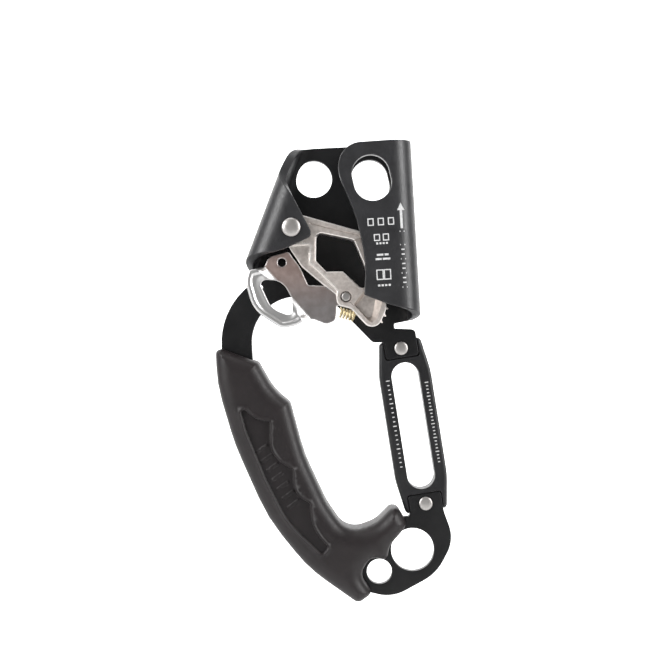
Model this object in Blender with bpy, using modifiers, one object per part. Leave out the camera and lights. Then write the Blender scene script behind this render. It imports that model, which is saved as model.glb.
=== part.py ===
"""Handled rope ascender with a descending link.

Everything is one bent aluminium plate with pieces riveted to it. +Z runs up the rope channel, +X points from
the handle to the rope, and -Y faces the user. The origin lies on the axis of the rope channel, half way up.
Outlines are (x, z, radius) corners in millimetres, and MM turns them into metres.
"""

import math

import bmesh
import bpy
from mathutils import Matrix, Vector
from mathutils.geometry import delaunay_2d_cdt, intersect_point_line

MM = 0.001
GAP = 0.3  # between pieces that touch
ARC_STEP = math.radians(15)

# Plate: back plate and flaps lie half a channel either side of y = 0, joined by half-round folds.
SHEET = 3.5
CHANNEL_RADIUS = 6.0
PLATE_FRONT = CHANNEL_RADIUS
PLATE_BACK = CHANNEL_RADIUS + SHEET
FOLD_RADIUS = CHANNEL_RADIUS + SHEET / 2
FOLD_LENGTH = math.pi * FOLD_RADIUS
FOLD_CUTS = 10
RELIEF_Z = -40.6  # below this, metal right of the channel fold stays flat
RELIEF_S = -42.0  # and the same along the housing fold

# Housing fold: its line leans 24 degrees out from the channel.
HOUSING_LEAN = math.radians(23.95)
HOUSING_ALONG = Vector((math.sin(HOUSING_LEAN), math.cos(HOUSING_LEAN)))
HOUSING_OUT = Vector((-math.cos(HOUSING_LEAN), math.sin(HOUSING_LEAN)))
HOUSING_START = 41.9  # distance of the fold's start from the origin, along HOUSING_OUT

CARABINER_HOLE = (-31.1, 22.2, 7.6)
ROPE_HOLE = ((-8.0, 21.3), (-7.4, 17.9), 7.6)
SMALL_EYE = (-13.2, -142.0, 5.2)
LARGE_EYE = (1.1, -133.7, 8.9)

# Cam and its axle.
CAM_PIVOT = (-41.2, 1.5)
CAM_HALF = 5.0
CAM_BORE = 3.2
CAM_WEB = -3.0  # y of the floor of the web beside the window rib
CAM_FOOT = -1.8  # and of the pocket in the toothed foot
TOOTH_PITCH = 2.9
TOOTH_RADIUS = 0.9
TOOTH_LENGTH = 1.8
AXLE_RADIUS = 2.5
CAM_SPRING_RADIUS = 4.7
CAM_SPRING_FLOOR = 1.6  # y of the floor of the ring-shaped pocket behind the hub
CAM_SPRING_LEG = (-37.9, 4.8)

# Trigger, its pin and its spring.
TRIGGER_PIVOT = (-20.7, -27.5)
TRIGGER_FRONT = -2.6
TRIGGER_BACK = -0.2
PIN_RADIUS = 1.9
PIN_HOLE = 2.2
SPRING_START = (-24.3, -33.3)
SPRING_END = (-17.2, -35.9)
SPRING_Y = -1.4
SPRING_RADIUS = 2.1
SPRING_TURNS = 5
WIRE = 0.38  # radius of both springs' wire

# Descending link: a slotted bar whose ends lap behind the plate's tongues.
LINK_MIDDLE = (4.35, -82.4)
LINK_TILT = math.radians(5.72)
LINK_BACK = 14.0
LINK_HALF = 10.85
LINK_END = 36.0
LAP_START = 28.3
TONGUE_HALF = 7.0
SLOT_RADIUS = 5.75
SLOT_HALF = 26.5
RIVET_AT = 32.6
RIVET_RADIUS = 1.9
RIVET_HOLE = 2.2

# Grip.
GRIP_HALF = 11.0
GRIP_SIDE = 5.5  # half height of its straight side wall
GRIP_ROUND = 6.5
GRIP_RINGS = (1.0, 3.0, 6.5)  # insets of the rings of points that shape its rounded edge
GRIP_GRID = 4.0

BLACK_ANODISE = (0.012, 0.012, 0.014)
LINK_ANODISE = (0.02, 0.02, 0.022)
CAST_STEEL = (0.55, 0.52, 0.49)
STAMPED_STEEL = (0.42, 0.38, 0.36)
BRIGHT_STEEL = (0.78, 0.78, 0.78)
SPRING_STEEL = (0.62, 0.58, 0.48)
BRONZE = (0.45, 0.30, 0.14)
RUBBER = (0.018, 0.016, 0.016)


# ---------------------------------------------------------------- outlines

def fitting_radii(corners):
    """Each corner's radius, less where the straight sides are too short for it."""
    places = [Vector(corner[:2]) for corner in corners]
    count = len(corners)
    tangents, slopes = [], []
    for i, corner in enumerate(places):
        inside = (places[i - 1] - corner).angle(places[(i + 1) % count] - corner)
        slopes.append(math.tan(inside / 2))
        tangents.append(corners[i][2] / slopes[-1])
    for i in range(count):
        room = (places[i] - places[i - 1]).length * 0.98
        share = min(1, room / max(tangents[i] + tangents[i - 1], room))
        tangents[i] *= share
        tangents[i - 1] *= share
    return [tangent * slope for tangent, slope in zip(tangents, slopes)]


def rounded(corners):
    """The points of a closed outline whose (x, z, radius) corners are turned into arcs."""
    points = []
    for i, radius in enumerate(fitting_radii(corners)):
        corner = Vector(corners[i][:2])
        back = (Vector(corners[i - 1][:2]) - corner).normalized()
        ahead = (Vector(corners[(i + 1) % len(corners)][:2]) - corner).normalized()
        inside = back.angle(ahead)
        turn = math.pi - inside
        if radius == 0:
            points.append(corner)
            continue
        side = 1 if back.cross(ahead) < 0 else -1
        centre = corner + (back + ahead).normalized() * radius / math.sin(inside / 2)
        start = corner + back * radius / math.tan(inside / 2) - centre
        steps = max(2, round(turn / ARC_STEP))
        for k in range(steps + 1):
            points.append(centre + Matrix.Rotation(side * turn * k / steps, 2) @ start)
    return points


def circle(x, z, radius, count=24):
    """The points of a circle."""
    turns = (2 * math.pi * k / count for k in range(count))
    return [Vector((x + radius * math.cos(t), z + radius * math.sin(t))) for t in turns]


def slot(first, last, radius, count=12):
    """The points round two equal circles, as a string pulled tight would follow them."""
    line = Vector(last) - Vector(first)
    heading = math.atan2(line.y, line.x)
    points = []
    for centre, begin in ((first, heading + math.pi / 2), (last, heading - math.pi / 2)):
        for k in range(count + 1):
            angle = begin + math.pi * k / count
            points.append(Vector(centre) + radius * Vector((math.cos(angle), math.sin(angle))))
    return points


def grown(points, margin):
    """A counter-clockwise outline moved outwards by a small margin."""
    moved = []
    for i, point in enumerate(points):
        edge_in = (point - points[i - 1]).normalized()
        edge_out = (points[(i + 1) % len(points)] - point).normalized()
        along = (edge_in + edge_out).normalized()
        moved.append(point + margin * Vector((along.y, -along.x)))
    return moved


def on_link(across, up):
    """Where a point of the link lies, from its middle, across and up its own tilted length."""
    cos, sin = math.cos(LINK_TILT), math.sin(LINK_TILT)
    return (LINK_MIDDLE[0] + across * cos - up * sin, LINK_MIDDLE[1] + across * sin + up * cos)


def link_corners(corners):
    """Corners given across and up the link, as corners in x and z."""
    return [(*on_link(across, up), radius) for across, up, radius in corners]


def off_channel(x, z):
    """Where a point of the channel flap lies in the flat blank."""
    return (FOLD_LENGTH - x, z)


def off_housing(x, z):
    """Where a point of the housing flap lies in the flat blank."""
    point = Vector((x, z))
    inward = HOUSING_START - point.dot(HOUSING_OUT)
    return tuple(point + HOUSING_OUT * (FOLD_LENGTH + 2 * inward))


def blank_outline():
    """The plate's flat blank, clockwise from the top left of the back plate."""
    channel_flap = [(-20.9, 34.2, 10.0), (-20.9, 21.5, 18.0), (-14.6, 3.5, 50.0), (-12.0, -14.0, 40.0),
                    (-13.4, -27.3, 0.8)]
    corners = [(-39.8, 35.0, 9.0)]
    corners += [(*off_channel(x, z), radius) for x, z, radius in channel_flap]
    corners += [(28.0, -31.6, 15.0), (6.0, -38.6, 1.5), (-1.2, -39.6, 0.5), (-1.2, -41.6, 0.5)]
    # Upper tongue, on the line of the link.
    corners += link_corners([(TONGUE_HALF, 39.5, 2.0), (TONGUE_HALF, LAP_START + GAP, 1.5),
                             (-TONGUE_HALF, LAP_START + GAP, 1.5), (-TONGUE_HALF, 36.2, 0.8)])
    # Finger opening, and the inner side of the strip inside the grip.
    corners += [(-10.4, -47.0, 2.5), (-28.8, -26.0, 12.0), (-60.8, -26.0, 19.0), (-60.6, -56.0, 25.0),
                (-50.0, -84.0, 60.0), (-41.5, -105.0, 40.0), (-31.5, -125.5, 10.0), (-14.0, -127.0, 8.0),
                (-5.0, -119.4, 5.0)]
    # Lower tongue and the rounded eye plate.
    corners += link_corners([(-TONGUE_HALF, -37.3, 1.5), (-TONGUE_HALF, -LAP_START - GAP, 1.5),
                             (TONGUE_HALF, -LAP_START - GAP, 1.5), (TONGUE_HALF, -37.0, 5.0)])
    corners += [(18.6, -130.5, 14.0), (10.5, -144.2, 20.0), (-8.5, -153.2, 16.0)]
    # Outer side of the strip, and the shoulder under the housing fold.
    corners += [(-24.5, -148.4, 10.0), (-42.5, -133.5, 40.0), (-57.0, -111.5, 60.0), (-67.5, -82.0, 60.0),
                (-73.3, -50.0, 40.0), (-73.4, -31.5, 30.0), (-61.5, -21.0, 2.0), (-54.0, -22.2, 0.6)]
    # Housing flap, from its foot round its tip.
    corners += [(-73.5, 4.5, 25.0), (-78.7, 18.3, 2.5), (-60.0, 24.3, 60.0), (-48.3, 26.6, 5.0)]
    return rounded(corners)[::-1]


# ---------------------------------------------------------------- building blocks

def clear_scene():
    for obj in list(bpy.data.objects):
        bpy.data.objects.remove(obj)


def new_collection(name):
    collection = bpy.data.collections.new(name)
    bpy.context.scene.collection.children.link(collection)
    return collection


def new_material(name, colour, roughness, metallic):
    material = bpy.data.materials.new(name)
    material.use_nodes = True
    surface = material.node_tree.nodes["Principled BSDF"]
    surface.inputs["Base Color"].default_value = (*colour, 1)
    surface.inputs["Roughness"].default_value = roughness
    surface.inputs["Metallic"].default_value = metallic
    return material


def place(obj, material=None):
    """Puts a piece in the ascender's collection, or, with no material, a cutter in the cutters'."""
    for collection in obj.users_collection:
        collection.objects.unlink(obj)
    if material is None:
        cutters.objects.link(obj)
        obj.hide_render = True
        obj.display_type = "WIRE"
        return obj
    pieces.objects.link(obj)
    obj.data.materials.clear()
    obj.data.materials.append(material)
    obj.data.shade_smooth()
    obj.data.set_sharp_from_angle(angle=math.radians(32))
    return obj


def meshed(drawn):
    """A curve object made into a mesh object with its caps welded on."""
    bpy.context.scene.collection.objects.link(drawn)
    bpy.context.view_layer.update()
    mesh = bpy.data.meshes.new_from_object(drawn.evaluated_get(bpy.context.evaluated_depsgraph_get()))
    mesh.transform(drawn.matrix_world)
    name = drawn.name
    bpy.data.objects.remove(drawn)
    shape = bmesh.new()
    shape.from_mesh(mesh)
    bmesh.ops.remove_doubles(shape, verts=shape.verts, dist=1e-6)
    bmesh.ops.recalc_face_normals(shape, faces=shape.faces)
    shape.to_mesh(mesh)
    shape.free()
    return bpy.data.objects.new(name, mesh)


def extruded(name, outlines, low, high):
    """A slab from y = low to y = high, whose first outline is its edge and whose others are holes."""
    curve = bpy.data.curves.new(name, "CURVE")
    curve.dimensions = "2D"
    curve.fill_mode = "BOTH"
    curve.extrude = (high - low) / 2 * MM
    for points in outlines:
        spline = curve.splines.new("POLY")
        spline.points.add(len(points) - 1)
        spline.use_cyclic_u = True
        for point, (x, z) in zip(spline.points, points):
            point.co = (x * MM, z * MM, 0, 1)
    drawn = bpy.data.objects.new(name, curve)
    drawn.rotation_euler.x = math.pi / 2
    drawn.location.y = (low + high) / 2 * MM
    return meshed(drawn)


def turned(name, profile, centre, steps=24):
    """A solid turned about an axis along Y, from a (radius, y) profile that starts at its front end."""
    mesh = bpy.data.meshes.new(name)
    points = [(radius * MM, 0, -y * MM) for radius, y in profile]
    mesh.from_pydata(points, [(i, i + 1) for i in range(len(points) - 1)], [])
    obj = bpy.data.objects.new(name, mesh)
    obj.rotation_euler.x = math.pi / 2
    obj.location = (centre[0] * MM, 0, centre[1] * MM)
    screw = obj.modifiers.new("Turn", "SCREW")
    screw.steps = screw.render_steps = steps
    screw.use_merge_vertices = True
    screw.merge_threshold = 1e-6
    return obj


def wire(name, path, radius):
    """A round wire along a list of points, with flat ends."""
    curve = bpy.data.curves.new(name, "CURVE")
    curve.dimensions = "3D"
    curve.bevel_depth = radius * MM
    curve.bevel_resolution = 2
    curve.use_fill_caps = True
    spline = curve.splines.new("POLY")
    spline.points.add(len(path) - 1)
    for point, place_of in zip(spline.points, path):
        point.co = (*(Vector(place_of) * MM), 1)
    return meshed(bpy.data.objects.new(name, curve))


def boolean(piece, tool, operation):
    """Cuts or joins a piece by a tool, which stays as a hidden helper that moves with it."""
    place(tool)
    tool.parent = piece
    modifier = piece.modifiers.new(operation.title(), "BOOLEAN")
    modifier.operation = operation
    modifier.object = tool
    modifier.solver = "EXACT"


def hang(piece, pivot):
    """Parents a piece to its joint's empty, leaving it where it is."""
    piece.parent = pivot
    piece.matrix_parent_inverse = Matrix.Translation(-pivot.matrix_world.translation)


def new_pivot(name, centre, parent=None):
    """An empty on a joint's axis."""
    pivot = bpy.data.objects.new(name, None)
    pieces.objects.link(pivot)
    pivot.location = (centre[0] * MM, 0, centre[1] * MM)
    bpy.context.view_layer.update()
    if parent:
        hang(pivot, parent)
        bpy.context.view_layer.update()
    return pivot


def dome(radius, height, base, out, steps=5):
    """The (radius, y) profile of a domed head, from its crown to its rim: out is -1 towards the user."""
    arc = (math.pi / 2 * k / steps for k in range(steps + 1))
    return [(radius * math.sin(a), base + out * height * math.cos(a)) for a in arc]


# ---------------------------------------------------------------- frame plate

def roll(mesh, out, start, folded):
    """Rolls the part of the blank that lies beyond start, and for which folded(x, z) is true, round a half turn.

    out is the direction away from the fold in the x, z plane. The metal keeps its length on the sheet's middle.
    """
    shape = bmesh.new()
    shape.from_mesh(mesh)
    normal = Vector((out.x, 0, out.y))
    for k in range(FOLD_CUTS + 1):
        distance = (start + FOLD_LENGTH * k / FOLD_CUTS) * MM
        beyond = (distance - FOLD_LENGTH * MM / FOLD_CUTS) * (k > 0) - (k == 0)
        faces = [f for f in shape.faces
                 if k == 0 or (f.calc_center_median().dot(normal) > beyond and in_fold(f, folded))]
        parts = faces + list({e for f in faces for e in f.edges}) + list({v for f in faces for v in f.verts})
        bmesh.ops.bisect_plane(shape, geom=parts, dist=1e-7, plane_co=normal * distance, plane_no=normal)
    for vertex in shape.verts:
        past = vertex.co.dot(normal) / MM - start
        if past <= 1e-4 or not folded(vertex.co.x / MM, vertex.co.z / MM):
            continue
        flat = vertex.co - normal * vertex.co.dot(normal)
        radius = vertex.co.y
        if past < FOLD_LENGTH:
            angle = past / FOLD_RADIUS
            reach, depth = start * MM + radius * math.sin(angle), radius * math.cos(angle)
        else:
            reach, depth = (start - (past - FOLD_LENGTH)) * MM, -radius
        vertex.co = Vector((flat.x, depth, flat.z)) + normal * reach
    shape.to_mesh(mesh)
    shape.free()


def in_fold(face, folded):
    """Whether a face of the blank belongs to the metal that folds."""
    centre = face.calc_center_median() / MM
    return folded(centre.x, centre.z)


def frame_plate(material):
    """The bent plate: channel and housing folds, handle strip, eye plate and two tongues."""
    first, last, radius = ROPE_HOLE
    holes = [circle(*CARABINER_HOLE, 32), slot(first, last, radius),
             slot(off_channel(*first), off_channel(*last), radius), circle(*CAM_PIVOT, AXLE_RADIUS + GAP),
             circle(*off_housing(*CAM_PIVOT), AXLE_RADIUS + GAP), circle(*CAM_SPRING_LEG, WIRE + GAP, 12),
             circle(*SMALL_EYE), circle(*LARGE_EYE, 32)]
    holes += [circle(*on_link(0, up), RIVET_HOLE, 16) for up in (RIVET_AT, -RIVET_AT)]
    plate = extruded("frame_plate", [blank_outline()] + holes, PLATE_FRONT, PLATE_BACK)
    roll(plate.data, Vector((1, 0)), 0, lambda x, z: z > RELIEF_Z)
    roll(plate.data, HOUSING_OUT, HOUSING_START, lambda x, z: Vector((x, z)).dot(HOUSING_ALONG) > RELIEF_S)
    return place(plate, material)


# ---------------------------------------------------------------- link and rivets

def descender_link(material):
    """The slotted bar, with a pocket at each end for the plate's tongue."""
    half = [(8.6, LINK_END, 2.0), (LINK_HALF, 22.0, 30.0), (LINK_HALF, -22.0, 30.0), (8.6, -LINK_END, 2.0)]
    outline = rounded(link_corners(half + [(-across, -up, radius) for across, up, radius in half]))
    ends = SLOT_HALF - SLOT_RADIUS
    window = slot(on_link(0, ends), on_link(0, -ends), SLOT_RADIUS)
    rivets = [circle(*on_link(0, up), RIVET_HOLE, 16) for up in (RIVET_AT, -RIVET_AT)]
    link = extruded("descender_link", [outline, window] + rivets, PLATE_FRONT, LINK_BACK)
    wide = TONGUE_HALF + GAP
    for side in (1, -1):
        pocket = rounded(link_corners([(-wide, side * LAP_START, 1.2), (wide, side * LAP_START, 1.2),
                                       (wide, side * 50, 0), (-wide, side * 50, 0)]))
        cutter = extruded("lap_pocket", [pocket], PLATE_FRONT - 1, PLATE_BACK + GAP)
        boolean(link, cutter, "DIFFERENCE")
    return place(link, material)


def headed_rivet(name, material, centre, radius, front, front_head, back, back_head):
    """A rivet along Y: each head is a dome of this (radius, height), which stands on this y."""
    profile = dome(*front_head, front, -1)
    profile += [(radius, front), (radius, back)]
    profile += dome(*back_head, back, 1)[::-1]
    return place(turned(name, profile, centre), material)


def washer(name, material, centre, inner, outer, low, high):
    """A flat ring between y = low and y = high."""
    return place(extruded(name, [circle(*centre, outer), circle(*centre, inner)], low, high), material)


def link_fastenings(material):
    """A rivet and a rear washer through each tongue and the link behind it."""
    low = LINK_BACK + GAP
    high = low + 0.6
    for name, up in (("upper", RIVET_AT), ("lower", -RIVET_AT)):
        centre = on_link(0, up)
        washer(f"{name}_rivet_washer", material, centre, RIVET_HOLE, 4.0, low, high)
        headed_rivet(f"{name}_link_rivet", material, centre, RIVET_RADIUS, PLATE_FRONT - GAP, (2.8, 1.0),
                     high + GAP, (3.2, 1.0))


# ---------------------------------------------------------------- grip

def grip_outline():
    """The moulded grip's edge seen by the user, counter-clockwise from its inner top corner."""
    return rounded([(-58.4, -52.2, 1.5), (-75.4, -45.0, 2.0), (-75.8, -60.0, 60.0), (-69.8, -85.5, 90.0),
                    (-58.0, -116.5, 70.0), (-42.5, -138.0, 60.0), (-22.8, -153.6, 3.0), (-16.8, -149.8, 2.0),
                    (-21.6, -141.8, 5.5), (-16.5, -134.8, 4.0), (-10.0, -136.6, 2.2), (-8.4, -130.5, 6.0),
                    (-0.6, -122.5, 3.6), (-5.2, -113.6, 3.0), (-13.4, -121.0, 12.0), (-25.5, -124.8, 9.0),
                    (-33.4, -112.0, 30.0), (-41.6, -91.5, 60.0), (-46.2, -69.6, 3.0), (-52.6, -63.8, 25.0)])


def edge_distance(point, outline):
    """The distance from a point to the nearest side of an outline."""
    nearest = []
    for i, end in enumerate(outline):
        foot, share = intersect_point_line(point, outline[i - 1], end)
        if share <= 0:
            nearest.append((point - outline[i - 1]).length)
        elif share >= 1:
            nearest.append((point - end).length)
        else:
            nearest.append((point - foot.to_2d()).length)
    return min(nearest)


def inside(point, outline):
    """Whether a point lies within a closed outline."""
    odd = False
    for i, (x, z) in enumerate(outline):
        last_x, last_z = outline[i - 1]
        if (z > point.y) != (last_z > point.y) and point.x < (last_x - x) * (point.y - z) / (last_z - z) + x:
            odd = not odd
    return odd


def even(outline, spacing):
    """Points at about this spacing along a closed outline."""
    points = []
    for i, end in enumerate(outline):
        start = outline[i - 1]
        count = max(1, round((end - start).length / spacing))
        points += [start.lerp(end, k / count) for k in range(count)]
    return points


def grip_points(outline):
    """Points within the outline: rings that follow its edge, then a staggered grid."""
    points = []
    edge = even(outline, GRIP_GRID)
    for margin in GRIP_RINGS:
        points += [p for p in grown(edge, -margin) if edge_distance(p, outline) > 0.97 * margin]
    xs, zs = [p.x for p in outline], [p.y for p in outline]
    row_height = GRIP_GRID * math.sqrt(3) / 2
    for row in range(round((max(zs) - min(zs)) / row_height)):
        for column in range(round((max(xs) - min(xs)) / GRIP_GRID)):
            point = Vector((min(xs) + (column + row % 2 / 2) * GRIP_GRID, min(zs) + row * row_height))
            if inside(point, outline) and edge_distance(point, outline) > GRIP_ROUND + GRIP_GRID / 2:
                points.append(point)
    return points


def crown(distance):
    """How far the grip's face stands off its middle, this far in from its edge."""
    share = min(distance / GRIP_ROUND, 1)
    return GRIP_SIDE + (GRIP_HALF - GRIP_SIDE) * math.sqrt(1 - (1 - share) ** 2)


def grip(material):
    """The grip: a front and a back face that are rounded towards the edge, round the plate's strip."""
    outline = even(grip_outline(), GRIP_GRID)
    count = len(outline)
    loop = [(i, (i + 1) % count) for i in range(count)]
    points, _, faces, *_ = delaunay_2d_cdt(outline + grip_points(outline), loop, [list(range(count))], 1, 1e-6)
    rises = [crown(edge_distance(point, outline)) for point in points]
    middle = PLATE_FRONT + SHEET / 2
    total = len(points)
    front = [(p.x * MM, (middle - rise) * MM, p.y * MM) for p, rise in zip(points, rises)]
    back = [(p.x * MM, (middle + rise) * MM, p.y * MM) for p, rise in zip(points, rises)]
    walls = [(a, b, b + total, a + total) for a, b in loop]
    mesh = bpy.data.meshes.new("grip")
    mesh.from_pydata(front + back, [], faces + [[i + total for i in face[::-1]] for face in faces] + walls)
    shape = bmesh.new()
    shape.from_mesh(mesh)
    bmesh.ops.recalc_face_normals(shape, faces=shape.faces)
    shape.to_mesh(mesh)
    shape.free()
    moulded = place(bpy.data.objects.new("grip", mesh), material)
    core = extruded("strip_room", [grown(blank_outline(), GAP)], PLATE_FRONT - GAP, PLATE_BACK + GAP)
    boolean(moulded, core, "DIFFERENCE")
    return moulded


# ---------------------------------------------------------------- cam

def tooth_places():
    """Where each tooth stands on the gripping face: (x, z, y, its heading in the x, z plane)."""
    side = rounded([(-40.0, -3.9, 0), (-5.9, -3.9, 0), (-4.7, -18.0, 60.0), (-4.6, -33.8, 8.0), (-7.1, -38.3, 0)])
    path = side[1:]
    places = []
    walked = -TOOTH_PITCH
    for start, end in zip(path, path[1:]):
        length = (end - start).length
        while walked + TOOTH_PITCH < length:
            walked += TOOTH_PITCH
            foot = start.lerp(end, walked / length)
            heading = math.atan2(end.x - start.x, start.y - end.y)
            columns = (-3.0, 0.0, 3.0) if len(places) % 5 else (-1.5, 1.5)
            places += [(foot.x, foot.y, y, heading) for y in columns]
        walked -= length
    return places[2:]


def cam_teeth():
    """Small cones on the gripping face, leaning down the rope."""
    joined = bmesh.new()
    lean = math.radians(24)
    for x, z, y, heading in tooth_places():
        out = Matrix.Rotation(heading - lean, 2) @ Vector((1, 0))
        direction = Vector((out.x, 0, out.y))
        centre = Vector((x, y, z)) + direction * 0.2
        matrix = Matrix.Translation(centre * MM) @ direction.to_track_quat("Z", "Y").to_matrix().to_4x4()
        bmesh.ops.create_cone(joined, cap_ends=True, segments=6, radius1=TOOTH_RADIUS * MM, radius2=0.15 * MM,
                              depth=TOOTH_LENGTH * MM, matrix=matrix)
    mesh = bpy.data.meshes.new("cam_teeth")
    joined.to_mesh(mesh)
    joined.free()
    return bpy.data.objects.new("cam_teeth", mesh)


def cam(material):
    """The toothed casting: hub, upper arm, outer arm, boss for the pin and toothed foot, round a window."""
    outline = rounded([(-47.2, 10.2, 6.0), (-5.9, -3.9, 1.5), (-4.7, -18.0, 60.0), (-4.6, -33.8, 8.0),
                       (-9.8, -43.2, 3.9), (-19.0, -32.4, 4.0), (-24.5, -30.6, 2.5), (-24.7, -26.6, 1.5),
                       (-38.0, -14.4, 10.0), (-47.2, 1.9, 6.0)])
    window = rounded([(-31.8, -0.3, 2.2), (-32.8, -12.3, 1.5), (-28.6, -16.9, 1.0), (-21.4, -17.2, 0.8),
                      (-12.4, -26.6, 2.0), (-11.4, -18.0, 20.0), (-16.2, -4.6, 2.5)])
    casting = extruded("cam", [outline, window, circle(*CAM_PIVOT, CAM_BORE)], -CAM_HALF, CAM_HALF)
    # The web outside the window rib, and the pocket in the foot, are lower than the rest of the face.
    web = rounded([(-34.1, -5.4, 1.0), (-34.6, -12.8, 1.5), (-29.4, -20.4, 0.6), (-34.0, -26.0, 0),
                   (-52.0, -14.0, 0), (-47.0, -5.4, 0)])
    boolean(casting, extruded("web_cut", [web], -CAM_HALF - 1, CAM_WEB), "DIFFERENCE")
    foot = rounded([(-17.0, -31.2, 1.0), (-12.2, -26.3, 1.0), (-6.0, -26.3, 1.0), (-8.4, -36.2, 1.5),
                    (-11.2, -38.6, 1.2)])
    boolean(casting, extruded("foot_pocket", [foot], -CAM_HALF - 1, CAM_FOOT), "DIFFERENCE")
    # A slot for the trigger's lug, open towards the trigger, and a bore for the pin with a wide mouth.
    lug_room = rounded([(-38.0, -22.9, 0), (-16.4, -22.9, 4.2), (-16.4, -31.8, 4.2), (-38.0, -40.0, 0)])
    boolean(casting, extruded("lug_slot", [lug_room], TRIGGER_FRONT - GAP, TRIGGER_BACK + GAP), "DIFFERENCE")
    pin_bore = extruded("pin_bore", [circle(*TRIGGER_PIVOT, PIN_HOLE)], -CAM_HALF - 1, CAM_HALF + 1)
    boolean(casting, pin_bore, "DIFFERENCE")
    pin_mouth = extruded("pin_mouth", [circle(*TRIGGER_PIVOT, 2.75)], -CAM_HALF - 1, -CAM_HALF + 0.8)
    boolean(casting, pin_mouth, "DIFFERENCE")
    # A ring-shaped pocket behind the hub for the closing spring, a hole for its leg, and the other spring's seat.
    room = WIRE + GAP
    ring = [circle(*CAM_PIVOT, CAM_SPRING_RADIUS + room), circle(*CAM_PIVOT, CAM_SPRING_RADIUS - room)]
    boolean(casting, extruded("spring_pocket", ring, CAM_SPRING_FLOOR, CAM_HALF + 1), "DIFFERENCE")
    leg = circle(*cam_spring_end(), WIRE + GAP, 12)
    boolean(casting, extruded("leg_hole", [leg], 0, CAM_SPRING_FLOOR + 1), "DIFFERENCE")
    boolean(casting, seat_cutter(), "DIFFERENCE")
    boolean(casting, cam_teeth(), "UNION")
    return place(casting, material)


def spring_frame():
    """The trigger spring's start, its unit direction, and its length."""
    start = Vector((SPRING_START[0], SPRING_Y, SPRING_START[1]))
    end = Vector((SPRING_END[0], SPRING_Y, SPRING_END[1]))
    return start, (end - start).normalized(), (end - start).length


def seat_cutter():
    """A round hole in the cam's foot in line with the trigger spring."""
    start, direction, length = spring_frame()
    depth = length + GAP
    radius = (SPRING_RADIUS + WIRE + GAP) * MM
    turn = direction.to_track_quat("Z", "Y").to_matrix().to_4x4()
    matrix = Matrix.Translation((start + direction * depth / 2) * MM) @ turn
    shape = bmesh.new()
    bmesh.ops.create_cone(shape, cap_ends=True, segments=20, radius1=radius, radius2=radius, depth=depth * MM,
                          matrix=matrix)
    mesh = bpy.data.meshes.new("spring_seat")
    shape.to_mesh(mesh)
    shape.free()
    return bpy.data.objects.new("spring_seat", mesh)


def coil(start, side, direction, length, radius, turns, per_turn=12):
    """Points along a helix that begins to one side of start."""
    other = direction.cross(side)
    count = round(turns * per_turn)
    points = []
    for k in range(count + 1):
        angle = 2 * math.pi * k / per_turn
        middle = start + direction * length * k / count
        points.append(middle + radius * (side * math.cos(angle) + other * math.sin(angle)))
    return points


def cam_spring_end():
    """Where the closing spring's front leg enters the cam, in x and z."""
    leg = Vector(CAM_SPRING_LEG) - Vector(CAM_PIVOT)
    return Vector(CAM_PIVOT) - leg.normalized() * CAM_SPRING_RADIUS


def cam_spring(material):
    """The torsion spring behind the hub, with one leg in the cam and the other in the back plate."""
    leg = Vector(CAM_SPRING_LEG) - Vector(CAM_PIVOT)
    side = Vector((leg.x, 0, leg.y)).normalized()
    end = cam_spring_end()
    front = CAM_SPRING_FLOOR + WIRE + 0.1
    back = CAM_HALF - WIRE
    start = Vector((CAM_PIVOT[0], front, CAM_PIVOT[1]))
    path = [(end.x, 0.6, end.y)]
    path += coil(start, -side, Vector((0, 1, 0)), back - front, CAM_SPRING_RADIUS, 3.5)
    path.append((CAM_SPRING_LEG[0], PLATE_FRONT + 1.5, CAM_SPRING_LEG[1]))
    return place(wire("cam_spring", path, WIRE), material)


# ---------------------------------------------------------------- trigger

def trigger(material):
    """The stamped catch: nose, finger ring with a raised lip, and a lug on the pin."""
    outline = rounded([(-51.2, -9.4, 3.5), (-43.2, -7.6, 1.5), (-38.6, -14.6, 10.0), (-35.8, -21.9, 1.0),
                       (-29.2, -22.6, 2.0), (-27.3, -24.0, 0.8), (-17.2, -24.0, 3.5), (-17.2, -31.0, 3.5),
                       (-24.7, -31.0, 0.5), (-25.8, -37.6, 2.5), (-36.5, -35.2, 6.0), (-42.5, -38.6, 4.0),
                       (-47.5, -38.2, 5.0), (-58.5, -31.0, 14.0), (-61.2, -19.0, 8.0), (-59.6, -14.6, 1.5),
                       (-53.2, -13.4, 1.5)])
    ring = rounded([(-55.9, -18.6, 2.0), (-46.5, -19.2, 7.5), (-42.6, -27.0, 6.0), (-43.2, -34.2, 1.6),
                    (-51.0, -31.0, 9.0)])
    holes = [ring, circle(-46.0, -12.0, 1.7), circle(*TRIGGER_PIVOT, PIN_HOLE)]
    catch = extruded("trigger", [outline] + holes, TRIGGER_FRONT, TRIGGER_BACK)
    bead = rounded([(-58.6, -17.0, 0), (-57.6, -29.2, 13.0), (-47.0, -36.4, 6.0), (-42.0, -36.4, 0)])
    lip = wire("finger_lip", [(x, TRIGGER_FRONT - 1.2, z) for x, z in bead], 1.7)
    boolean(catch, lip, "UNION")
    return place(catch, material)


def trigger_spring(material):
    """The compression spring between the trigger's end and its seat in the cam."""
    start, direction, length = spring_frame()
    side = direction.orthogonal().normalized()
    path = coil(start + direction * 2 * WIRE, side, direction, length - 3 * WIRE, SPRING_RADIUS, SPRING_TURNS)
    return place(wire("trigger_spring", path, WIRE), material)


def trigger_pin(material):
    """The pin the trigger turns on, a little short of both faces of the cam."""
    end = CAM_HALF - 0.2
    profile = [(0, -end), (PIN_RADIUS - 0.3, -end), (PIN_RADIUS, 0.3 - end), (PIN_RADIUS, end), (0, end)]
    return place(turned("trigger_pin", profile, TRIGGER_PIVOT), material)


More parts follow.
